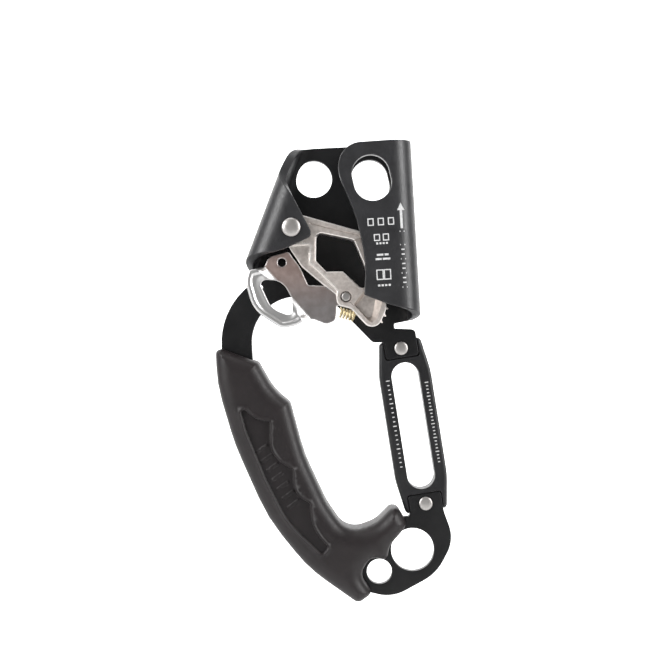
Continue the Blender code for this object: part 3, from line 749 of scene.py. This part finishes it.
def blank_outline():
    """The plate's flat blank, from the top left of the back plate."""
    channel_flap = [(-20.9, 34.2, 10.0), (-20.9, 21.5, 18.0), (-14.6, 3.5, 50.0), (-12.0, -14.0, 40.0),
                    (-13.4, -27.3, 0.8)]
    corners = [(-39.8, 35.0, 9.0)]
    corners += [(*off_channel(x, z), radius) for x, z, radius in channel_flap]
    corners += [(28.0, -31.6, 15.0), (6.0, -38.6, 1.5), (-1.2, -39.6, 0.5), (-1.2, -41.6, 0.5)]
    lap = LAP_START + CLEARANCE
    corners += link_corners([(TONGUE_HALF, 39.5, 2.0), (TONGUE_HALF, lap, 1.5), (-TONGUE_HALF, lap, 1.5),
                             (-TONGUE_HALF, 36.2, 0.8)])
    corners += [(-10.4, -47.0, 2.5), (-28.8, -26.0, 12.0), (-60.8, -26.0, 19.0), (-60.6, -56.0, 25.0),
                (-50.0, -84.0, 60.0), (-41.5, -105.0, 40.0), (-31.5, -125.5, 10.0), (-14.0, -127.0, 8.0),
                (-5.0, -119.4, 5.0)]
    corners += link_corners([(-TONGUE_HALF, -37.3, 1.5), (-TONGUE_HALF, -lap, 1.5), (TONGUE_HALF, -lap, 1.5),
                             (TONGUE_HALF, -37.0, 5.0)])
    corners += [(18.6, -130.5, 14.0), (10.5, -144.2, 20.0), (-8.5, -153.2, 16.0)]
    corners += [(-24.5, -148.4, 10.0), (-42.5, -133.5, 40.0), (-57.0, -111.5, 60.0), (-67.5, -82.0, 60.0),
                (-73.3, -50.0, 40.0), (-73.4, -31.5, 30.0), (-61.5, -21.0, 2.0), (-54.0, -22.2, 0.6)]
    corners += [(-73.5, 4.5, 25.0), (-78.7, 18.3, 2.5), (-60.0, 24.3, 60.0), (-48.3, 26.6, 5.0)]
    return rounded(corners)


def roll(mesh, out, start, folded):
    """Rolls the part of the blank beyond start, where folded(x, z) is true, round a half turn."""
    shape = bmesh.new()
    shape.from_mesh(mesh)
    normal = Vector((out.x, 0, out.y))

    def folds(face):
        centre = face.calc_center_median() / MM
        return folded(centre.x, centre.z)

    step = FOLD_LENGTH / FOLD_CUTS
    for k in range(FOLD_CUTS + 1):
        distance = (start + step * k) * MM
        reach = distance - step * MM
        faces = [f for f in shape.faces if not k or (f.calc_center_median().dot(normal) > reach and folds(f))]
        parts = faces + list({e for f in faces for e in f.edges})
        parts += list({v for f in faces for v in f.verts})
        bmesh.ops.bisect_plane(shape, geom=parts, dist=1e-7, plane_co=normal * distance, plane_no=normal)
    for vertex in shape.verts:
        past = vertex.co.dot(normal) / MM - start
        if past <= 1e-4 or not folded(vertex.co.x / MM, vertex.co.z / MM):
            continue
        flat = vertex.co - normal * vertex.co.dot(normal)
        radius = vertex.co.y
        if past < FOLD_LENGTH:
            angle = past / FOLD_RADIUS
            reach, depth = start * MM + radius * math.sin(angle), radius * math.cos(angle)
        else:
            reach, depth = (start - (past - FOLD_LENGTH)) * MM, -radius
        vertex.co = Vector((flat.x, depth, flat.z)) + normal * reach
    shape.to_mesh(mesh)
    shape.free()


def build_plate():
    first, last, radius = ROPE_HOLE
    holes = [circle(*CARABINER_HOLE), slot(first, last, radius),
             slot(off_channel(*first), off_channel(*last), radius)]
    holes += [circle(*centre, AXLE_RADIUS + CLEARANCE) for centre in (CAM_PIVOT, off_housing(*CAM_PIVOT))]
    holes += [circle(*CAM_SPRING_LEG, WIRE + CLEARANCE, 24), circle(*SMALL_EYE), circle(*LARGE_EYE)]
    holes += [circle(*on_link(0, up), RIVET_BORE, 32) for up in (RIVET_AT, -RIVET_AT)]
    plate = slab("folded_plate", [blank_outline()] + holes, PLATE_FRONT, PLATE_BACK, PLATE_EDGE)
    roll(plate.data, Vector((1, 0)), 0, lambda x, z: z > CHANNEL_RELIEF)
    roll(plate.data, HOUSING_OUT, HOUSING_START,
         lambda x, z: Vector((x, z)).dot(HOUSING_ALONG) > HOUSING_RELIEF)
    finish_piece(plate, "plate", "frame", "frame_plate")
    # The front of the back plate, with the start of both folds, gets painted shade: a darker, less glossy
    # material where the folds shadow it.
    facing = values(plate.data.polygons, "normal", 3)[:, 1]
    depth = values(plate.data.polygons, "center", 3)[:, 1] / MM
    repaint(plate, looks["inside"], (facing < -0.7) & (depth > PLATE_FRONT - PAINTED_SHADE_DEPTH))


# ---- link and rivets

def build_link():
    half = [(8.6, 36.0, 2.0), (10.85, 22.0, 30.0), (10.85, -22.0, 30.0), (8.6, -36.0, 2.0)]
    outline = rounded(link_corners(half + [(-across, -up, radius) for across, up, radius in half]))
    reach, radius = LINK_WINDOW
    window = slot(on_link(0, reach), on_link(0, -reach), radius)
    link = slab("slotted_link", [outline, window], PLATE_FRONT, LINK_BACK, LINK_EDGE, LINK_RIM)
    wide = TONGUE_HALF + CLEARANCE
    beyond = 50  # anywhere past the link's end
    for side in (1, -1):
        pocket = rounded(link_corners([(-wide, side * LAP_START, 1.2), (wide, side * LAP_START, 1.2),
                                       (wide, side * beyond, 0), (-wide, side * beyond, 0)]))
        carve(link, slab("lap", [pocket], PLATE_FRONT - 1, PLATE_BACK + CLEARANCE, CUTTER_EDGE), 0.012)
        bore = circle(*on_link(0, side * RIVET_AT), RIVET_BORE, 32)
        carve(link, slab("bore", [bore], PLATE_FRONT, LINK_BACK + 1, CUTTER_EDGE))
    finish_piece(link, "link", "frame", "descender_link")


def head(radius, height, base, out, steps=12):
    """The profile of a domed head whose rim stands upright for a little, from its crown."""
    rim = height * 0.25
    arc = (math.pi / 2 * k / steps for k in range(steps + 1))
    profile = [(radius * math.sin(a), base + out * (rim + (height - rim) * math.cos(a))) for a in arc]
    return profile + [(radius, base)]


def build_rivet(names, centre, front, back, heads, shank, ring):
    """A riveted pin along Y between two heads, with a washer under its rear head.

    names are those of the rivet, its washer and the two CAD nodes, and ring is the washer's radius,
    thickness, bore and edge.
    """
    profile = head(*heads[0], front, -1) + [(shank, front), (shank, back)] + head(*heads[1], back, 1)[::-1]
    finish_piece(turned(names[0], profile, centre), "bright_steel", "frame", names[2])
    radius, thickness, bore, edge = ring
    start = back - CLEARANCE - thickness
    washer = slab(names[1], [circle(*centre, radius), circle(*centre, bore)], start, start + thickness, edge)
    finish_piece(washer, "bright_steel", "frame", names[3])


def build_fastenings():
    for name, up in (("upper", RIVET_AT), ("lower", -RIVET_AT)):
        names = (f"{name}_rivet", f"{name}_washer", f"{name}_link_rivet", f"{name}_rivet_washer")
        build_rivet(names, on_link(0, up), PLATE_FRONT - CLEARANCE, LINK_BACK + 1.2,
                    (RIVET_HEAD, RIVET_REAR_HEAD), RIVET_SHANK, (*RIVET_RING, RIVET_BORE, 0.12))
    build_rivet(("axle", "axle_ring", "cam_axle", "axle_washer"), CAM_PIVOT, -PLATE_BACK - CLEARANCE,
                PLATE_BACK + 1.4, (AXLE_HEAD, AXLE_REAR_HEAD), AXLE_RADIUS,
                (*AXLE_RING, AXLE_RADIUS + CLEARANCE, 0.15))
    for node in ("front_thrust_washer", "rear_thrust_washer", "cam_bush"):
        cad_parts[node].data.materials[0] = looks["bronze"]


# ---- grip

def grip_outline():
    """The grip, from the top of its finger side and round by its outer side."""
    return rounded([(-58.4, -52.2, 1.5), (-75.4, -45.0, 2.0), (-75.8, -60.0, 60.0), (-69.8, -85.5, 90.0),
                    (-58.0, -116.5, 70.0), (-42.5, -138.0, 60.0), (-22.8, -153.6, 3.0), (-16.8, -149.8, 2.0),
                    (-21.6, -141.8, 5.5), (-16.5, -134.8, 4.0), (-10.0, -136.6, 2.2), (-8.4, -130.5, 6.0),
                    (-0.6, -122.5, 3.6), (-5.2, -113.6, 3.0), (-13.4, -121.0, 12.0), (-25.5, -124.8, 9.0),
                    (-33.4, -112.0, 30.0), (-41.6, -91.5, 60.0), (-46.2, -69.6, 3.0), (-52.6, -63.8, 25.0)])


def panel_outline():
    """The recessed panel: a long curve on the outer side, and scallops on the finger side."""
    return rounded([(-67.0, -67.8, 1.2), (-64.6, -80.0, 40.0), (-57.6, -99.8, 50.0), (-49.8, -118.0, 40.0),
                    (-36.2, -132.2, 1.6), (-33.6, -128.8, 1.0), (-40.0, -121.5, 18.0), (-40.1, -110.7, 0.4),
                    (-46.4, -106.4, 9.0), (-46.5, -96.5, 0.4), (-55.3, -90.2, 11.0), (-54.6, -76.4, 0.4),
                    (-60.8, -75.4, 12.0)])


def panel_pads():
    """Slanted raised bars along the middle of the recessed panel, each its two ends."""
    reach = Vector((1.9, 1.2))
    first, last = Vector((-58.4, -87.5)), Vector((-46.9, -110.8))
    middles = [first.lerp(last, k / (PAD_COUNT - 1)) for k in range(PAD_COUNT)]
    return [(middle - reach, middle + reach) for middle in middles]


def build_grip():
    outline = even(grip_outline(), 1.2)
    panel = anticlockwise(panel_outline())
    pads = panel_pads()
    rings = (0.2, 0.7, 1.5, 2.6, 4.0, 5.4)
    inner = creased([outline], scattered([outline], 1.9, rings), [panel], (0.06, 0.3, 0.55, 0.9), 0.7)
    foot, *around = ([even(slot(*pad, radius, 8), 0.7) for pad in pads] for radius in (PAD_HALF, 0.75, 1.05))
    inner = creased([outline], inner, foot, (0.01,), 0.7) + sum(sum(around, []), [])

    def heights(points):
        inward = np.clip(distances(points, [outline]) / GRIP_ROUND, 0, 1)
        rise = GRIP_SIDE + (GRIP_HALF - GRIP_SIDE) * np.sqrt(1 - (1 - inward) ** 2)
        offset = signed(points, panel)
        sunk = PANEL_DEPTH * smooth(-0.05, 0.3, offset) - PANEL_BEAD * np.exp(-(((offset + 0.6) / 0.4) ** 2))
        for pad in pads:
            sunk -= PAD_RISE * (1 - smooth(PAD_HALF, 2 * PAD_HALF, bar_distance(points, *pad)))
        middle = PLATE_FRONT + SHEET / 2
        return middle - (rise - sunk), middle + (rise - sunk)

    moulded = relief("moulded_grip", [outline], inner, heights)
    finish_piece(moulded, "grip", "frame", "grip", heights=heights)
    centres = values(moulded.data.polygons, "center", 3)[:, [0, 2]] / MM
    repaint(moulded, looks["panel"], signed(centres, panel) > 0.02)


# ---- cam

def build_cam():
    outer = rounded([(-47.2, 10.2, 6.0), (-5.9, -3.9, 1.5), (-4.7, -18.0, 60.0), (-4.6, -33.8, 8.0),
                     (-9.8, -43.2, 3.9), (-19.0, -32.4, 4.0), (-24.5, -30.6, 2.5), (-24.7, -26.6, 1.5),
                     (-38.0, -14.4, 10.0), (-47.2, 1.9, 6.0)])
    # The window's front edge is wider than the window, by a ledge along its left side.
    window = rounded([(-31.1, -0.6, 2.0), (-32.1, -12.1, 1.3), (-28.0, -16.9, 0.3), (-21.4, -17.2, 0.8),
                      (-12.4, -26.6, 2.0), (-11.4, -18.0, 20.0), (-16.2, -4.6, 2.5)])
    ledge = rounded([(-31.8, -1.4, 1.2), (-32.8, -12.3, 1.5), (-28.6, -17.1, 0.2), (-26.0, -16.5, 0),
                     (-26.0, -3.0, 0)])
    web = rounded([(-34.1, -5.4, 1.0), (-34.7, -13.0, 1.5), (-30.6, -17.0, 0.8), (-23.8, -25.0, 0.6),
                   (-25.4, -29.5, 0), (-52.0, -14.0, 0), (-47.0, -5.4, 0)])
    arm = rounded([(-16.4, -4.9, 0.3), (-2.0, -0.9, 0), (-2.0, -24.8, 0), (-14.0, -24.8, 0)])
    pocket = rounded([(-17.9, -30.7, 0.8), (-13.4, -25.7, 0.6), (-6.1, -25.7, 1.0), (-6.4, -31.0, 3.0),
                      (-8.4, -37.0, 1.5), (-10.8, -38.8, 1.0), (-12.7, -37.3, 1.0)])
    floor = rounded([(-16.7, -31.4, 0.4), (-12.6, -27.0, 0.4), (-8.2, -27.2, 0.8), (-10.3, -35.8, 0.8),
                     (-12.2, -36.6, 0.6)])
    bore = circle(*CAM_PIVOT, CAM_BORE)
    pin = circle(*TRIGGER_PIVOT, TRIGGER_BORE, 48)
    loops = [even(outer, 0.6), even(window, 0.6), bore, pin]
    creases = [ledge, web, arm, pocket, floor]
    # A line along the upper edge, and a short one beside the foot's pocket.
    grooves = [((-33.6, 2.95), (-14.0, -3.05)), ((-19.1, -29.7), (-17.3, -31.5))]
    inner = creased(loops, scattered(loops, 1.0, (0.08, 0.2, 0.45, 0.9)), creases, (0.02, 0.18, 0.4))
    inner = creased(loops, inner, [slot(*groove, 0.16, 6) for groove in grooves], (0.01, 0.15))

    def heights(points):
        down = (CAM_WEB + CAM_HALF) * smooth(-0.05, 0.38, signed(points, web))
        down = np.maximum(down, LEDGE_STEP * smooth(-0.05, 0.15, signed(points, ledge)))
        down = np.maximum(down, ARM_STEP * smooth(-0.05, 0.25, signed(points, arm)))
        into = np.clip(signed(points, pocket), 0, None)
        left = np.clip(-signed(points, floor), 0, None)
        down = np.maximum(down, (CAM_FOOT + CAM_HALF) * np.where(left > 0, into / (into + left + 1e-6), 1))
        for groove in grooves:
            down += GROOVE_DEPTH * (1 - smooth(0.08, 0.28, bar_distance(points, *groove)))
        soft = rounding(distances(points, loops), CAM_EDGE)
        return -CAM_HALF + down + soft, CAM_HALF - soft

    casting = relief("cam_casting", loops, inner, heights)
    room = WIRE + CLEARANCE
    ring = [circle(*CAM_PIVOT, CAM_SPRING_RADIUS + room), circle(*CAM_PIVOT, CAM_SPRING_RADIUS - room)]
    carve(casting, slab("spring_pocket", ring, CAM_SPRING_FLOOR, CAM_HALF + 1, CUTTER_EDGE))
    leg_hole = circle(*cam_spring_end(), room, 24)
    carve(casting, slab("leg_hole", [leg_hole], 0, CAM_SPRING_FLOOR + 1, CUTTER_EDGE))
    lug_room = rounded([(-38.0, -22.9, 0), (-16.4, -22.9, 4.2), (-16.4, -31.8, 4.2), (-38.0, -40.0, 0)])
    front, back = TRIGGER_FRONT - CLEARANCE, TRIGGER_BACK + CLEARANCE
    carve(casting, slab("lug_slot", [lug_room], front, back, CUTTER_EDGE))
    radius, depth = PIN_MOUTH
    mouth = circle(*TRIGGER_PIVOT, radius)
    carve(casting, slab("pin_mouth", [mouth], -CAM_HALF - 1, -CAM_HALF + depth, CUTTER_EDGE))
    finish_piece(casting, "cast_steel", "cam", "cam", 38, heights)
    # Bright edges along the outline, the window and the web: partly wear, partly a painted highlight where
    # the rounded edges catch the light.
    wear(casting, lambda points: 1 - smooth(0.25, 0.6, distances(points, loops[:2] + [web])))
    teeth = build_teeth()
    finish_piece(teeth, "cast_steel", "cam", sharp=60)
    wear(teeth, lambda points: np.full(len(points), 0.4))


def tooth_places():
    """Where each tooth stands on the gripping face, (x, z, y), and its heading in the x, z plane."""
    side = rounded([(-40.0, -3.9, 0), (-5.9, -3.9, 0), (-4.7, -18.0, 60.0), (-4.6, -33.8, 8.0),
                    (-7.1, -38.3, 0)])
    path = side[1:]
    places = []
    walked = -TOOTH_PITCH
    for start, end in zip(path, path[1:]):
        length = (end - start).length
        while walked + TOOTH_PITCH < length:
            walked += TOOTH_PITCH
            foot = start.lerp(end, walked / length)
            heading = math.atan2(end.x - start.x, start.y - end.y)
            columns = (-1, 0, 1) if len(places) % 5 else (-0.5, 0.5)
            places += [(foot.x, foot.y, TOOTH_COLUMN * column, heading) for column in columns]
        walked -= length
    return places[2:]


def build_teeth():
    shape = bmesh.new()
    for x, z, y, heading in tooth_places():
        out = Matrix.Rotation(heading - TOOTH_LEAN, 2) @ Vector((1, 0))
        direction = Vector((out.x, 0, out.y))
        centre = Vector((x, y, z)) + direction * 0.2
        matrix = Matrix.Translation(centre * MM) @ direction.to_track_quat("Z", "Y").to_matrix().to_4x4()
        bmesh.ops.create_cone(shape, cap_ends=True, segments=16, radius1=TOOTH_RADIUS * MM,
                              radius2=TOOTH_TIP * MM, depth=TOOTH_LENGTH * MM, matrix=matrix)
    mesh = bpy.data.meshes.new("cam_teeth")
    shape.to_mesh(mesh)
    shape.free()
    return placed("cam_teeth", mesh)


def build_pin():
    end = CAM_HALF - 0.2
    crown = [(0, -end), (1.2, -end), (1.55, 0.06 - end), (1.8, 0.25 - end)]
    profile = crown + [(PIN_RADIUS, 0.5 - end), (PIN_RADIUS, end), (0, end)]
    pin = turned("trigger_pivot_pin", profile, TRIGGER_PIVOT)
    finish_piece(pin, "bright_steel", "cam", "trigger_pin", 40)


# ---- springs

def cam_spring_end():
    """Where the leg that the cam carries leaves the closing spring, opposite the plate's leg."""
    leg = Vector(CAM_SPRING_LEG) - Vector(CAM_PIVOT)
    return Vector(CAM_PIVOT) - leg.normalized() * CAM_SPRING_RADIUS


def coil(start, side, direction, length, radius, turns, per_turn=28):
    """Points along a helix that begins to one side of start."""
    other = direction.cross(side)
    count = round(turns * per_turn)
    points = []
    for k in range(count + 1):
        angle = 2 * math.pi * k / per_turn
        middle = start + direction * length * k / count
        points.append(middle + radius * (side * math.cos(angle) + other * math.sin(angle)))
    return points


def build_springs():
    start = Vector((SPRING_START[0], SPRING_Y, SPRING_START[1]))
    line = Vector((SPRING_END[0], SPRING_Y, SPRING_END[1])) - start
    direction = line.normalized()
    side = direction.orthogonal().normalized()
    foot = start + direction * 2 * WIRE
    path = coil(foot, side, direction, line.length - 3 * WIRE, SPRING_RADIUS, SPRING_TURNS)
    coiled = wire("trigger_coil", path, WIRE)
    finish_piece(coiled, "spring_steel", "trigger", "trigger_spring", bend=("cam", start, start + line))
    leg = Vector(CAM_SPRING_LEG) - Vector(CAM_PIVOT)
    side = Vector((leg.x, 0, leg.y)).normalized()
    end = cam_spring_end()
    front = CAM_SPRING_FLOOR + WIRE + 0.1
    start = Vector((CAM_PIVOT[0], front, CAM_PIVOT[1]))
    path = [(end.x, 0.6, end.y)]
    length = CAM_HALF - WIRE - front
    path += coil(start, -side, Vector((0, 1, 0)), length, CAM_SPRING_RADIUS, CAM_SPRING_TURNS)
    path.append((CAM_SPRING_LEG[0], PLATE_FRONT + 1.5, CAM_SPRING_LEG[1]))
    back = Vector((CAM_PIVOT[0], CAM_HALF, CAM_PIVOT[1]))
    coiled = wire("cam_coil", path, WIRE)
    finish_piece(coiled, "spring_steel", "frame", "cam_spring", bend=("cam", back, start))


# ---- trigger

def build_trigger():
    outline = rounded([(-51.2, -9.4, 3.5), (-43.2, -7.6, 1.5), (-38.6, -14.6, 10.0), (-35.8, -21.9, 1.0),
                       (-29.2, -22.6, 2.0), (-27.3, -24.0, 0.8), (-17.2, -24.0, 3.5), (-17.2, -31.0, 3.5),
                       (-24.7, -31.0, 0.5), (-25.4, -37.0, 2.2), (-29.2, -38.3, 3.0), (-36.5, -35.0, 6.0),
                       (-41.0, -38.0, 8.0), (-47.4, -38.9, 4.5), (-58.5, -31.0, 14.0), (-61.2, -19.0, 8.0),
                       (-59.6, -14.6, 1.5), (-53.2, -13.4, 1.5)])
    ring = rounded([(-55.9, -18.6, 2.0), (-46.5, -19.2, 7.5), (-42.6, -27.0, 6.0), (-43.2, -34.2, 1.6),
                    (-51.0, -31.0, 9.0)])
    outline, ring = even(outline, 0.7), even(ring, 0.7)
    loops = [outline, ring, circle(*CATCH_HOLE, 40), circle(*TRIGGER_PIVOT, TRIGGER_BORE, 40)]
    inner = scattered(loops, 0.8, (0.08, 0.2, 0.4, 0.7, 1.1, 1.5, 1.9, 2.15, 2.4, 2.7))
    first, last = RING_BEND
    bend = last - first
    across = Vector((bend.y, -bend.x)).normalized()

    def past(points):
        """How far beyond the bend line, towards the ring, each point lies."""
        return (points - np.array(first)) @ np.array(across)

    def heights(points):
        lift = RING_LIFT * smooth(0.0, 4.2, past(points))
        outside = distances(points, [outline])
        hole = distances(points, [ring])
        on_ring = smooth(0.4, 4.4, past(points))
        bead = LIP_LIFT * (smooth(-0.8, 0.9, outside) - smooth(1.5, LIP_WIDTH, outside))
        depth, width = RING_DISH
        dish = depth * (1 - smooth(0.0, width, hole))
        soft = rounding(distances(points, loops), 0.4)
        front = TRIGGER_FRONT - lift + on_ring * (dish - bead) + soft
        back = TRIGGER_BACK - lift - soft
        return front, np.maximum(back, front + CATCH_THINNEST)

    catch = relief("finger_catch", loops, inner, heights)
    finish_piece(catch, "stamped_steel", "trigger", "trigger", 60, heights)
    # Bright edges, partly wear and partly a painted highlight, and the ring's polished finish beyond the
    # bend.
    wear(catch, lambda points: np.maximum(1 - smooth(0.2, 0.5, distances(points, loops)),
                                          2.3 * smooth(0.2, 1.6, past(points))))


# ---- printed marks

def on_plate(x, z, proud):
    """A point proud of the front flap, whose outer part rolls away round the channel."""
    outside = PLATE_BACK + proud
    return (x, -math.sqrt(outside**2 - max(x, 0) ** 2), z)


def on_link_face(x, z, proud):
    """A point proud of the link's front."""
    return (x, PLATE_FRONT - proud, z)


def printed(name, outlines, place):
    """Printed shapes with a little thickness, each a closed outline of points, laid on a surface."""
    verts, faces = [], []
    for outline in outlines:
        first, count = len(verts), len(outline)
        for proud in (PRINT_PROUD, -PRINT_ROOT):
            verts += [place(x, z, proud) for x, z in outline]
        faces += [tuple(range(first, first + count)), tuple(range(first + count, first + 2 * count))]
        for i in range(count):
            a, b = first + i, first + (i + 1) % count
            faces.append((a, b, b + count, a + count))
    mark = new_object(name, verts, faces)
    finish_piece(mark, "plate", "frame", look="print")


def bar(x, z, width, height, lean=0.0):
    """A small printed rectangle about a point."""
    turn = Matrix.Rotation(lean, 2)
    signs = ((-1, -1), (1, -1), (1, 1), (-1, 1))
    return [tuple(Vector((x, z)) + turn @ Vector((a * width / 2, b * height / 2))) for a, b in signs]


def open_box(x, z, width, height, stroke=0.42):
    """Four bars that make an open box, a hair apart where they meet so that they share no edge."""
    level = [bar(x, z + side * (height - stroke) / 2, width, stroke) for side in (-1, 1)]
    tall = height - 2 * stroke - 0.004
    upright = [bar(x + side * (width - stroke) / 2, z, stroke, tall) for side in (-1, 1)]
    return level + upright


def build_marks():
    """An arrow with dashes under it, boxes and dashes beside them, and ticks down the link's two rails."""
    arrow = [(2.75, -1.4), (3.75, -1.4), (3.75, 5.9), (4.75, 5.9), (3.25, 8.9), (1.75, 5.9), (2.75, 5.9)]
    marks = [arrow, bar(3.25, -2.6, 2.0, 0.45)]
    marks += [bar(3.2, -8.0 - 1.9 * k, 1.3 if k % 3 else 2.1, 0.5) for k in range(10)]
    for x in (-9.2, -5.1, -1.0):
        marks += open_box(x, 1.7, 2.5, 3.0)
    for x in (-7.0, -3.4):
        marks += open_box(x, -4.6, 2.5, 2.8)
    gap = 0.5
    for z, widths in ((-7.0, (0.8,) * 4), (-11.6, (2.6, 1.6)), (-13.3, (2.4, 3.0)), (-23.9, (0.9,) * 4)):
        x = -5.1 - (sum(widths) + gap * (len(widths) - 1)) / 2
        for width in widths:
            marks.append(bar(x + width / 2, z, width, 0.8))
            x += width + gap
    marks += open_box(-6.6, -19.6, 2.9, 4.2) + open_box(-3.6, -19.6, 2.9, 4.2)
    printed("flap_marks", marks, on_plate)
    ticks = []
    for across, top, pitch, count, every in ((8.2, 17.0, 1.45, 24, 4), (-7.6, 20.0, 1.9, 20, 5)):
        for k in range(count):
            width = 0.9 if k % every else 1.5
            ticks.append(bar(*on_link(across, top - pitch * k), width, 0.4, LINK_TILT))
    printed("link_marks", ticks, on_link_face)


# ---- camera, light and stage

def build_camera():
    camera = placed("camera", bpy.data.cameras.new("camera"))
    right = Vector((math.cos(CAMERA_ROLL), 0, -math.sin(CAMERA_ROLL)))
    up = Vector((math.sin(CAMERA_ROLL), 0, math.cos(CAMERA_ROLL)))
    turn = Matrix((right, up, Vector((0, -1, 0)))).transposed().to_4x4()
    camera.matrix_world = Matrix.Translation(CAMERA_PLACE) @ turn
    camera.data.sensor_width = 36
    camera.data.lens = CAMERA_LENS
    camera.data.clip_start = 0.01
    bpy.context.scene.camera = camera
    bpy.context.scene.view_settings.view_transform = "Standard"


def build_light(name, location, target, size, power):
    """A soft white light, its place and size in metres and its power in watts."""
    light = bpy.data.lights.new(name, "AREA")
    light.shape = "RECTANGLE"
    light.size, light.size_y = size
    light.energy = power
    obj = placed(name, light)
    obj.location = location
    obj.rotation_euler = (Vector(target) - Vector(location)).to_track_quat("-Z", "Y").to_euler()


def build_stage():
    """A pale floor that curves up into a glowing backdrop, with soft studio lights round the object."""
    drop, away, radius = -0.30, 0.55, 0.25
    profile = [(-1.6, drop)]
    steps = 12
    for k in range(steps + 1):
        angle = math.pi / 2 * k / steps
        profile.append((away - radius + radius * math.sin(angle), drop + radius * (1 - math.cos(angle))))
    profile.append((away, 1.6))
    verts = [(x / MM, y / MM, z / MM) for x in (-1.2, 1.2) for y, z in profile]
    count = len(profile)
    sweep = new_object("backdrop", verts, [(i, i + 1, i + 1 + count, i + count) for i in range(count - 1)])
    sweep.data.shade_smooth()
    paper = textured("paper", 0.80, 0.84, (0.8, 0.9), 0.0, [(400, 0.05)], 6)
    tree = paper.node_tree
    # The glow comes in behind the object, so that the floor in front of it stays plain.
    glow = fade(tree, "Y", 0.15, 0.5, 0.85)
    feed(tree, tree.nodes["Principled BSDF"], {"Emission Color": (1, 1, 1, 1), "Emission Strength": glow})
    sweep.data.materials.append(paper)
    middle = (-0.03, 0, -0.05)
    build_light("left", (-0.80, -0.48, 0.36), middle, (0.5, 0.8), 11)
    build_light("right", (0.88, -0.40, 0.22), middle, (0.35, 0.8), 9.5)
    build_light("top", (-0.1, -0.1, 1.0), middle, (0.8, 0.4), 3)
    world = bpy.data.worlds.new("studio")
    world.use_nodes = True
    feed(world.node_tree, world.node_tree.nodes["Background"], {"Color": (1, 1, 1, 1), "Strength": 0.30})
    bpy.context.scene.world = world


build_camera()
build_stage()
looks = make_materials()
build_plate()
build_link()
build_fastenings()
build_grip()
build_cam()
build_pin()
build_springs()
build_trigger()
build_marks()
